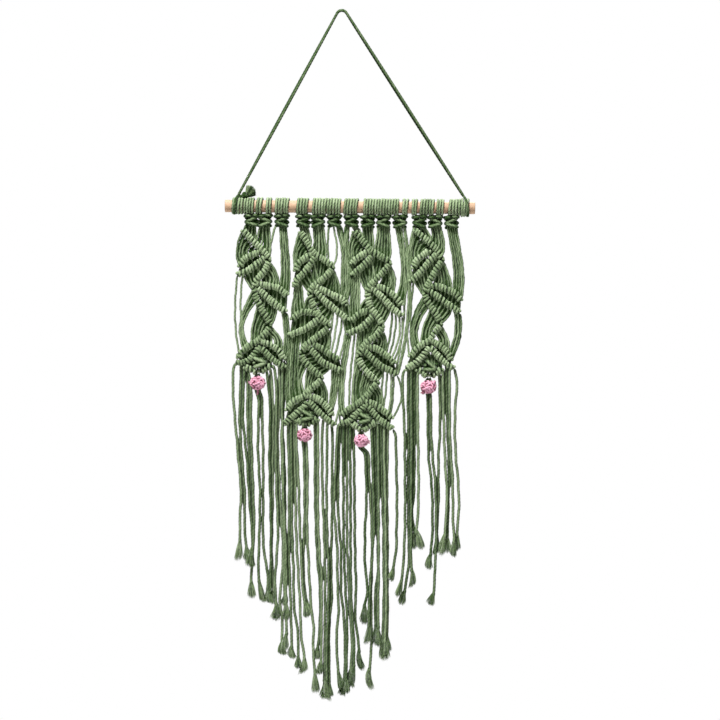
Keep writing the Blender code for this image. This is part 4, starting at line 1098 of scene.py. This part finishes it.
# One cord of a square knot: across the front, round one edge, back across and away, in shares
# of the knot's half width, half height and depth.
knotPath = [
    (-0.75, 1.0, 0.2), (-1.0, 0.92, -0.5), (-0.72, 0.74, -1.0), (0.0, 0.46, -1.18),
    (0.72, 0.18, -1.0), (1.04, 0.06, -0.45), (1.10, -0.06, 0.1), (1.0, -0.16, -0.55),
    (0.68, -0.26, -1.02), (0.0, -0.52, -1.2), (-0.70, -0.78, -1.0), (-1.04, -0.92, -0.4),
    (-0.92, -1.0, 0.3),
]


def leaning(spot, lean):
    spot.rotate(Quaternion((0, 1, 0), lean))
    return spot


def squareKnot(centre, facts, lean, flip=1):
    half, height = facts["half"] * flip, facts["height"]
    made = []
    back = Vector((0, knotParts["coreBack"], 0))
    for side in (-1, 1):
        ends = [centre + back + Vector((side * half * knotParts["coreAside"], 0,
                                        up * height * knotParts["coreReach"])) for up in (1, -1)]
        made.append(strand(evenLine(ends, knotParts["lineStep"]), knotParts["coreShadeTone"],
                           knotParts["coreSize"]))
    for way in (1, -1):
        course = [centre + leaning(Vector((u * half * way, 0, v * (height / 2))), lean)
                  + Vector((0, y * way * knotParts["passDepth"], 0)) for u, v, y in knotPath]
        made.append(strand(evenCourse(course, knotParts["passStep"]),
                           random.uniform(*facts["tones"]), facts["size"]))
    for side in (-1, 1):
        ends = [centre + leaning(Vector((side * knotParts["heldAside"], knotParts["heldY"],
                                         up * height * knotParts["heldReach"])), lean)
                for up in (1, -1)]
        made.append(strand(evenLine(ends, knotParts["lineStep"]), knotParts["heldTone"]))
    return made


def headRidge(x, z):
    made = []
    for side in (-1, 1):
        course = [Vector((x + side * share * headKnot["ridgeHalf"], headKnot["ridgeOut"] * front,
                          z - headKnot["ridgeFall"] * share + headKnot["ridgeSlope"] * side))
                  for share, front in ridgePath]
        made.append(strand(evenCourse(course, knotParts["passStep"]),
                           random.uniform(*headKnot["tones"]), headKnot["ridgeSize"]))
    return made


def makeKnots(vine):
    made = dowelTurns(vine["name"])
    across, upright = headBack["across"], headBack["upright"]
    for k, column in enumerate(vine["heads"]):
        x = (vine["centre"] + column) * cell
        axis = dowelHeight(x)
        top = axis - headKnot["top"]
        made += headRidge(x, top)
        ends = [Vector((x + side * across["half"], across["y"], top + across["rise"]))
                for side in (-1, 1)]
        made.append(strand(evenLine(ends, yarn["step"]), across["tone"], across["size"],
                           seat_shade=across["seat_shade"], behind=True))
        middle = (headKnot["top"] + headKnot["bottom"]) / 2 + headKnot["drop"]
        made += squareKnot(Vector((x, 0.0, axis - middle)), headKnot,
                           eitherWay(headKnot["lean"]), 1 if k % 2 else -1)
        for aside in upright["asides"]:
            ends = [Vector((x + aside, strandY, axis - down))
                    for down in (upright["top"], headKnot["bottom"])]
            made.append(strand(evenLine(ends, knotParts["lineStep"]), upright["tone"],
                               seat_shade=upright["seat_shade"], behind=True))
    column, down, lean = vine["knot"]
    made += squareKnot(chartPlace(vine, column, down, leafKnot["y"]), leafKnot, lean)
    spinFor(vine["name"], "_knots", made)


# Plain strands between the bars. A handle at each end shapes a strand: mix is how much of it
# follows the strand's own way, and the rest hangs straight down. Hooks turn it square to its
# bar. A bow of 1.33 moves the strand's middle by the squares that its row says.
plainRows = {
    "handle": 0.36, "leaveMix": 0.55, "arriveMix": 0.7, "hook": 0.0075, "hookShare": 0.3,
    "leaveHook": 0.2, "arriveHook": 0.25, "arriveHookFromHead": 1.0, "bow": 1.33,
    "bowSpread": (0.8, 1.15), "loose": 0.0005, "stagger": 0.0007, "stray": 0.00028,
    "strayShare": 0.008, "wave": 0.022, "straight": 0.012, "tones": (0.50, 0.80),
    "recessShade": 0.12, "sizes": (0.80, 0.90), "behind": 0.0034, "behindTone": 0.62,
    "behindSpread": 0.08, "behindSize": 1.4, "shortSize": 1.2, "short": 0.022,
    "behindSeatShade": 0.64,
}
# Where strands meet a head or a knot: stations 0 to 3 are its four strands.
meeting = {"middle": 1.5, "headHalf": 2.1, "headBack": 0.0005, "headRise": 0.0030,
           "knotSquares": 2.0}


def anchorOf(vine, courses, name, station):
    aside = station - meeting["middle"]
    if name.startswith("head_"):
        x = (vine["centre"] + vine["heads"][int(name[5:])]) * cell
        x += max(-1.0, min(1.0, aside / meeting["headHalf"])) * headKnot["strandReach"]
        return Vector((x, strandY - meeting["headBack"],
                       dowelHeight(x) - headKnot["bottom"] + meeting["headRise"]))
    if name == "knot":
        across, down, _ = vine["knot"]
        return chartPlace(vine, across + aside * meeting["knotSquares"], down, strandY)
    place = courseAt(courses[name], station)
    return Vector((place.x, strandY, place.z))


def fromEnd(courses, name, station):
    if station < 0 and name in courses:
        return station + len(courses[name]) - 1
    return station


# The way a strand leaves or meets a bar: square to it, on the side that the strand runs to.
def squareTo(courses, name, station, way):
    if name not in courses:
        return Vector((0, 0, -1))
    ahead = courseAt(courses[name], station + 0.05) - courseAt(courses[name], station - 0.05)
    square = Vector((ahead.z, 0, -ahead.x)).normalized()
    return square if square.dot(way) > 0 else -square


def rowCourse(vine, courses, upper, station, lower, toStation, aside, step):
    top = anchorOf(vine, courses, upper, station)
    foot = anchorOf(vine, courses, lower, toStation)
    length = (foot - top).length
    way = (foot - top) / length
    down = Vector((0, 0, -1))
    hook = min(plainRows["hookShare"] * length, plainRows["hook"])

    def handle(square, mix, turned):
        eased = way * mix + down * (1 - mix)
        return eased * length * plainRows["handle"] + (square - way) * hook * turned

    fromHead = upper.startswith("head_")
    one = top + handle(squareTo(courses, upper, station, way), plainRows["leaveMix"],
                       plainRows["leaveHook"]) + aside
    two = foot - handle(squareTo(courses, lower, toStation, way), plainRows["arriveMix"],
                        plainRows["arriveHookFromHead" if fromHead else "arriveHook"]) + aside
    spots = max(4, int(length / step))
    course = []
    for i in range(spots + 1):
        t = i / spots
        s = 1 - t
        course.append(top * s ** 3 + one * (3 * s * s * t) + two * (3 * s * t * t) + foot * t ** 3)
    if length > plainRows["straight"]:
        stray = min(plainRows["stray"], length * plainRows["strayShare"])
        course = wander(course, stray, plainRows["wave"])
    return course, length


# The strands of every row, and between them the hidden ones that lie behind.
def rowStrands(vine, courses):
    made, hidden = [], []
    for upper, first, last, lower, toFirst, toLast, count, bow, back in vine["rows"] + lastLeafRows:
        first, last = fromEnd(courses, upper, first), fromEnd(courses, upper, last)
        toFirst, toLast = fromEnd(courses, lower, toFirst), fromEnd(courses, lower, toLast)
        shares = [k / (count - 1) if count > 1 else 0.0 for k in range(count)]
        gaps = [(a + b) / 2 for a, b in zip(shares, shares[1:])] if count > 2 else []
        for k, share in enumerate(shares + gaps):
            inFront = k < count
            sway = bow * cell * plainRows["bow"] * random.uniform(*plainRows["bowSpread"])
            deep = back * 0.001 + random.uniform(0.0, plainRows["loose"])  # back is in mm
            deep += plainRows["stagger"] if k % 2 else 0.0
            deep += 0.0 if inFront else plainRows["behind"]
            course, length = rowCourse(
                vine, courses, upper, first + (last - first) * share, lower,
                toFirst + (toLast - toFirst) * share, Vector((sway, deep, 0)),
                yarn["step"] if inFront else plainYarn["step"])
            # A row that lies further back is painted darker, as painted shade in the recess.
            tone = random.uniform(*plainRows["tones"]) - plainRows["recessShade"] * max(0.0, back)
            size = random.uniform(*plainRows["sizes"])
            if inFront:
                made.append(strand(course, tone, size))
                continue
            tone = plainRows["behindTone"] + eitherWay(plainRows["behindSpread"])
            wider = plainRows["shortSize"] if length < plainRows["short"] else 1.0
            hidden.append(strand(course, tone, plainRows["behindSize"] * wider, plainYarn,
                                 seat_shade=plainRows["behindSeatShade"], behind=True))
    return made, hidden


# Hanging ends, in two layers. Each falls by drop from its bar before it goes its own way.
fringe = {
    "layer": 0.0020, "wave": 0.035, "stray": 0.00030, "size": 1.1, "tones": (0.40, 0.72),
    "berryApart": 1.6, "berrySteps": (-6.6, 0, 6.6), "drop": 0.0085, "dropAside": 0.6,
    "dropLayer": 0.7, "dropClear": 0.006, "intoTuft": 5, "intoTuftGrowth": 0.14,
}
filler = {"gap": 0.0047, "level": 0.002, "fewest": 12, "back": 0.0034, "size": 1.1,
          "taper": 7, "taperTo": 0.3, "tone": 0.62, "seat_shade": 0.20}
tuft = {
    "length": 0.0225, "lengthSpread": (0.75, 1.35), "width": 0.0122, "widthSpread": (0.8, 1.2),
    "roundness": (0.02, 0.20), "fibres": 100, "points": 6, "lean": 0.15, "curl": 0.0014,
    "slant": 0.14, "reach": (0.90, 1.02), "flat": 0.55, "rootHalf": 0.0012,
    "rootDeep": 0.0011, "opening": 1.1, "closing": 0.10, "deepening": 1.2, "wave": 0.00016,
    "tone": 0.48, "cordTone": 0.59, "toneFollow": 0.5,  # a cord of cordTone has tufts of tone
    "locks": 7, "lockTones": (-0.38, 0.34), "fibreTones": (-0.16, 0.18),
}


def fringeCourse(vine, courses, root, station, layer, spots):
    y = strandY + (fringe["layer"] if layer else -fringe["layer"])
    placed = [Vector((columnX(c), y, -(r - firstRow) * cell)) for c, r in spots]
    if root == "berry":
        foot = courses["v_left" if station < 0 else "v_right"][-1]
        across, down = vine["berry"]
        across += station * fringe["berryApart"]
        first = [chartPlace(vine, across, down + step, strandY) for step in fringe["berrySteps"]]
        return [Vector((foot.x, strandY, foot.z))] + first + placed
    start = courseAt(courses[root], station)
    start = Vector((start.x, strandY, start.z))
    drop = start + Vector(((placed[0].x - start.x) * fringe["dropAside"],
                           (y - strandY) * fringe["dropLayer"], -fringe["drop"]))
    if placed[0].z < drop.z - fringe["dropClear"]:
        return [start, drop] + placed
    return [start] + placed


# A cord's end combed out: fine fibres that open from the cord's width to the tuft's, in locks
# of one shade. A round tuft's outer fibres are shorter.
def tuftFibres(end, way, width, length, tone, count, roundness=0.0):
    side = way.cross(Vector((0, 1, 0))).normalized()
    front = side.cross(way).normalized()
    made = []
    lean = eitherWay(tuft["lean"])
    curl = eitherWay(tuft["curl"])
    slant = eitherWay(tuft["slant"]) * (1 - roundness)
    locks = [random.uniform(*tuft["lockTones"]) for _ in range(tuft["locks"] + 1)]
    for _ in range(count):
        angle = random.uniform(0, 2 * math.pi)
        out = math.sqrt(random.uniform(0.05, 1.0))
        reach = length * random.uniform(*tuft["reach"])
        u = math.cos(angle) * out
        v = math.sin(angle) * out
        reach *= 1 - roundness * u * u + slant * u
        phase = anyPhase()
        course = []
        for i in range(tuft["points"]):
            t = i / (tuft["points"] - 1)
            opened = t ** tuft["opening"] * (1 - tuft["closing"] * t * t)
            half = tuft["rootHalf"] + (width / 2 - tuft["rootHalf"]) * opened
            deep = (tuft["rootDeep"]
                    + (width * tuft["flat"] / 2 - tuft["rootDeep"]) * t ** tuft["deepening"])
            wave = tuft["wave"] * math.sin(5 * t + phase) * t
            course.append(end + way * (reach * t) + side * (u * half + wave + lean * reach * t * t
                                                           + curl * math.sin(3 * t))
                          + front * (v * deep + wave))
        shade = locks[int((u + 1) / 2 * tuft["locks"])] + random.uniform(*tuft["fibreTones"])
        made.append(strand(course, tone + shade, 1.0, fibreYarn))
    return made


# A line behind two strands that hang close together, as far down as they stay close.
def lineBetween(one, two):
    course = []
    for spot in one:
        near = min(two, key=lambda other: abs(other.z - spot.z))
        close = abs(near.z - spot.z) < filler["level"] and abs(near.x - spot.x) < filler["gap"]
        if close:
            course.append(Vector(((near.x + spot.x) / 2, strandY + filler["back"], spot.z)))
        elif len(course) > filler["fewest"]:
            break
        else:
            course = []
    return course


def fillersBetween(cords):
    made = []
    for one, two in zip(cords, cords[1:]):
        course = lineBetween(one, two)
        if len(course) > filler["fewest"]:
            course = evenLine(course, plainYarn["step"])
            last = len(course) - 1
            sizes = [filler["size"] * min(1.0, filler["taperTo"] + k / filler["taper"],
                                          filler["taperTo"] + (last - k) / filler["taper"])
                     for k in range(last + 1)]
            made.append(strand(course, filler["tone"], kind=plainYarn, sizes=sizes,
                               seat_shade=filler["seat_shade"], behind=True))
    return made


def fringeStrands(vine, courses):
    strands, cords, fibres = [], [], []
    for root, station, layer, spots in vine["fringe"]:
        stations = fringeCourse(vine, courses, root, station, layer, spots)
        fine = evenCourse(stations, yarn["step"])
        length = tuft["length"] * random.uniform(*tuft["lengthSpread"])
        width = tuft["width"] * random.uniform(*tuft["widthSpread"])
        kept = max(4, int(len(fine) * (1 - length / lengthOf(fine))))
        way = (fine[-1] - fine[kept]).normalized()
        cord = wander(fine[:kept + 1], fringe["stray"], fringe["wave"])
        cords.append(cord)
        tone = random.uniform(*fringe["tones"])
        inside = fine[kept + 1:-1][:fringe["intoTuft"]]
        sizes = [fringe["size"]] * len(cord)
        sizes += [1.0 + fringe["intoTuftGrowth"] * (k + 1) for k in range(len(inside))]
        strands.append(strand(cord + inside, tone, sizes=sizes))
        tuftTone = tuft["tone"] + (tone - tuft["cordTone"]) * tuft["toneFollow"]
        fibres += tuftFibres(cord[-1], way, width, length, tuftTone, tuft["fibres"],
                             random.uniform(*tuft["roundness"]))
    return strands, fillersBetween(cords), fibres


def makeVine(vine):
    courses = barCourses(vine)
    hidden = makeBars(vine, courses)
    makeKnots(vine)
    hanging, fillers, fibres = fringeStrands(vine, courses)
    plain, behind = rowStrands(vine, courses)
    spinFor(vine["name"], "_strands", plain)
    spinFor(vine["name"], "_backing", hidden + fillers + behind, kind=plainYarn)
    spinFor(vine["name"], "_fringe", hanging)
    spinFor(vine["name"], "_tufts", fibres, sageBrushed, fibreYarn)


for vine in vines:
    makeVine(vine)
    print(vine["name"], "knotted")


# A berry is a ball of pink loops round a heart. Tufts: across, up, length, width.
berry = {
    "y": 0.0002, "loops": 6, "spots": 60, "weave": 0.42, "lift": 0.05, "swell": 1.04,
    # The heart is painted darker than the loops, as painted shade between them.
    "tones": (0.5, 0.72), "heart": 0.80, "heartShadeTone": 0.34, "heartSteps": 3,
    "tuftRoot": 0.72, "tuftFront": 0.001, "tuftForward": 0.15, "tuftTone": 0.55,
    "tuftFibres": 30,
    "vine_1": {"half": (0.0097, 0.0080, 0.0086), "turn": (0.5, 0.25, 0.35),
               "tufts": [(-1.0, 0.0, 0.0045, 0.0036), (-0.05, -1.0, 0.0085, 0.0022)]},
    "vine_2": {"half": (0.0092, 0.0078, 0.0081), "turn": (0.2, 0.5, -0.4), "tufts": []},
    "vine_3": {"half": (0.0087, 0.0078, 0.0079), "turn": (0.7, -0.4, 0.6),
               "tufts": [(1.0, -0.2, 0.0050, 0.0050)]},
    "vine_4": {"half": (0.0096, 0.0080, 0.0081), "turn": (0.1, 0.4, 0.2),
               "tufts": [(0.8, 0.8, 0.0050, 0.0044), (-0.7, -0.85, 0.0060, 0.0056)]},
}


# Loops that weave to and fro about the ball's three great circles.
def berryLoops(facts, centre):
    turned = Matrix.Rotation(facts["turn"][0], 3, "Z") @ Matrix.Rotation(facts["turn"][1], 3, "X")
    turned = turned @ Matrix.Rotation(facts["turn"][2], 3, "Y")
    half = Vector(facts["half"]) * berry["swell"] - Vector((1, 1, 1)) * plyYarn["radius"]
    made = []
    for loop in range(berry["loops"]):
        circle, phase = loop % 3, math.pi * (loop // 3)
        course = []
        for k in range(berry["spots"] + 1):
            angle = 2 * math.pi * k / berry["spots"]
            aside = berry["weave"] * math.sin(3 * angle + phase)
            spot = Vector((math.cos(angle), math.sin(angle), aside)).normalized()
            spot *= 1 + berry["lift"] * math.cos(6 * angle + loop)
            spot = turned @ Vector([spot[(i + circle) % 3] for i in range(3)])
            course.append(centre + Vector([spot[i] * half[i] for i in range(3)]))
        made.append(strand(course, random.uniform(*berry["tones"]), 1.0, plyYarn,
                           around=[centre] * len(course)))
    return made


def makeHeart(node, half, centre):
    bm = bmesh.new()
    bmesh.ops.create_icosphere(bm, subdivisions=berry["heartSteps"], radius=1.0)
    bmesh.ops.scale(bm, verts=bm.verts, vec=[h * berry["heart"] for h in half])
    bmesh.ops.translate(bm, verts=bm.verts, vec=centre)
    mesh = smoothMesh(node + "_heart", bm, pinkCord)
    # One tone over the whole heart: the painted shade seen between the loops.
    layer = mesh.attributes.new("tone", "FLOAT", "POINT")
    layer.data.foreach_set("value", np.full(len(mesh.vertices), berry["heartShadeTone"]))
    finishPiece(addObject(node + "_heart", mesh), "pink_cotton", node)


def makeBerry(vine):
    facts = berry[vine["name"]]
    node = "berry_" + vine["name"]
    centre = chartPlace(vine, *vine["berry"], berry["y"])
    spinFor(node, "_knot", berryLoops(facts, centre), pinkCord, plyYarn)
    makeHeart(node, facts["half"], centre)
    fibres = []
    for across, up, length, width in facts["tufts"]:
        way = Vector((across, -berry["tuftForward"], up)).normalized()
        root = centre + Vector((way.x * facts["half"][0] * berry["tuftRoot"],
                                -berry["tuftFront"],
                                way.z * facts["half"][2] * berry["tuftRoot"]))
        fibres += tuftFibres(root, way, width, length, berry["tuftTone"], berry["tuftFibres"])
    if fibres:
        spinFor(node, "_tuft", fibres, pinkCord, fibreYarn)


for vine in vines:
    makeBerry(vine)
print("pink knots tied")


# The left tie ends in an overhand knot and a brushed tuft. Its path goes along from the
# hanger's foot and above the dowel's axis. Its rings are the knot's two turns, with the lean
# and the size of each.
leftTie = {
    "path": [(0.0000, 0.0105), (0.0040, 0.0118), (0.0078, 0.0129), (0.0120, 0.0130)],
    "y": -0.0012, "step": 0.0010, "tone": 0.3, "size": 1.15,
    "rings": [(0.5, 0.0029), (-0.6, 0.0027)], "ringPoints": 14, "ringTwist": 0.0009,
    "ringApart": 0.0012, "ringTone": 0.2, "ringSize": 1.1,
    "tuftWay": (0.66, -0.05, 0.74), "tuftInside": 0.003, "tuftWidth": 0.0190,
    "tuftLength": 0.0158, "tuftTone": 0.38, "tuftRoundness": 0.3, "fibres": 400,
}
rightTie = {"reach": 0.0100}
# Each hanger leg goes on over the front of the turns, to a column beside its foot.
tucked = {
    "rise": 0.0042, "meet": 0.0012, "spots": 8, "sweep": 0.92 * math.pi, "aside": 1.6,
    "size": 1.08, "left": {"column": 234.6, "reach": 0.0106, "tone": 0.38},
    "right": {"column": 467.6, "reach": 0.0113, "tone": 0.50},
}


def tuckedEnd(end):
    facts = tucked[end]
    foot = hangerFoot(end, -hanger["spread"] / 2)
    footX = hanger[end]["foot"]
    upward = (Vector((0, foot.y, 0)) - foot).normalized()
    course = [foot + upward * tucked["rise"], foot + upward * tucked["meet"]]
    for k in range(1, tucked["spots"] + 1):
        share = k / tucked["spots"]
        angle = math.pi / 2 + tucked["sweep"] * share
        x = footX + (columnX(facts["column"]) - footX) * min(1.0, tucked["aside"] * share)
        course.append(Vector((x, facts["reach"] * math.cos(angle),
                              dowelHeight(x) + facts["reach"] * math.sin(angle))))
    return strand(evenCourse(course, yarn["step"]), facts["tone"], tucked["size"])


def overhandKnot(centre):
    made = []
    for k, (lean, size) in enumerate(leftTie["rings"]):
        middle = centre + Vector((leftTie["ringApart"] * k, 0, 0))
        ring = []
        for i in range(leftTie["ringPoints"] + 1):
            angle = 2 * math.pi * i / leftTie["ringPoints"] + k
            spot = Vector((leftTie["ringTwist"] * math.sin(angle * 2), math.cos(angle) * size,
                           math.sin(angle) * size))
            ring.append(middle + leaning(spot, lean))
        made.append(strand(ring, leftTie["ringTone"], leftTie["ringSize"]))
    return made


def makeLeftTie():
    made = dowelTurns("hanger_tie_left")
    course = []
    for along, above in leftTie["path"]:
        x = hanger["left"]["foot"] + along
        course.append(Vector((x, leftTie["y"], dowelHeight(x) + above)))
    made.append(strand(evenCourse(course, leftTie["step"]), leftTie["tone"], leftTie["size"]))
    made.append(tuckedEnd("left"))
    made += overhandKnot(course[2])
    spinFor("hanger_tie_left", "_turns", made)
    way = Vector(leftTie["tuftWay"]).normalized()
    fibres = tuftFibres(course[-1] - way * leftTie["tuftInside"], way, leftTie["tuftWidth"],
                        leftTie["tuftLength"], leftTie["tuftTone"], leftTie["fibres"],
                        leftTie["tuftRoundness"])
    spinFor("hanger_tie_left", "_tuft", fibres, sageBrushed, fibreYarn)


def makeRightTie():
    made = dowelTurns("hanger_tie_right", rightTie["reach"])
    made.append(tuckedEnd("right"))
    spinFor("hanger_tie_right", "_turns", made)


makeLeftTie()
makeRightTie()
for kind in (yarn, plainYarn, fibreYarn, plyYarn):
    bpy.data.objects.remove(kind["outline"])
print("hanger ties wound")


# A white room. Each light has a place, a size and a power.
studio = {
    "floor": -1.3, "floorSize": 2.0, "floorColour": (0.9, 0.9, 0.9, 1), "floorRoughness": 0.9,
    "key": ((-0.6, -1.3, 2.15), 0.55, 150.0), "fill": ((0.9, -1.9, -0.2), 1.4, 3.0),
    "back": ((0.5, 1.7, 1.5), 1.0, 55.0), "aim": (0, 0, -0.42), "backdrop": (1, 1, 1, 1),
    "air": (0.97, 0.98, 1, 1), "ambient": 0.085,
}


def makeFloor():
    bm = bmesh.new()
    bmesh.ops.create_grid(bm, x_segments=2, y_segments=2, size=studio["floorSize"])
    bmesh.ops.translate(bm, verts=bm.verts, vec=(0, 0, studio["floor"]))
    made, _, shader = newMaterial("pale floor", studio["floorRoughness"])
    shader.inputs["Base Color"].default_value = studio["floorColour"]
    floor = addObject("floor", smoothMesh("floor", bm, made))


def addLight(name):
    place, size, power = studio[name]
    data = bpy.data.lights.new(name, "AREA")
    data.shape = "DISK"
    data.size = size
    data.energy = power
    light = addObject(name, data)
    light.location = place
    aim = Vector(studio["aim"]) - Vector(place)
    light.rotation_euler = aim.to_track_quat("-Z", "Y").to_euler()


def addBackground(tree, colour, strength):
    node = addNode(tree, "ShaderNodeBackground")
    node.inputs["Color"].default_value = colour
    node.inputs["Strength"].default_value = strength
    return node.outputs[0]


# The camera sees plain white, and the hanging is lit by much less.
def setWorld():
    world = bpy.data.worlds.new("studio")
    bpy.context.scene.world = world
    world.use_nodes = True
    tree = world.node_tree
    tree.nodes.clear()
    rays = addNode(tree, "ShaderNodeLightPath")
    mix = addNode(tree, "ShaderNodeMixShader")
    out = addNode(tree, "ShaderNodeOutputWorld")
    tree.links.new(rays.outputs["Is Camera Ray"], mix.inputs[0])
    tree.links.new(addBackground(tree, studio["air"], studio["ambient"]), mix.inputs[1])
    tree.links.new(addBackground(tree, studio["backdrop"], 1.0), mix.inputs[2])
    tree.links.new(mix.outputs[0], out.inputs["Surface"])


makeFloor()
for name in ("key", "fill", "back"):
    addLight(name)
setWorld()
bpy.context.scene.view_settings.view_transform = "Standard"
print("studio lit")
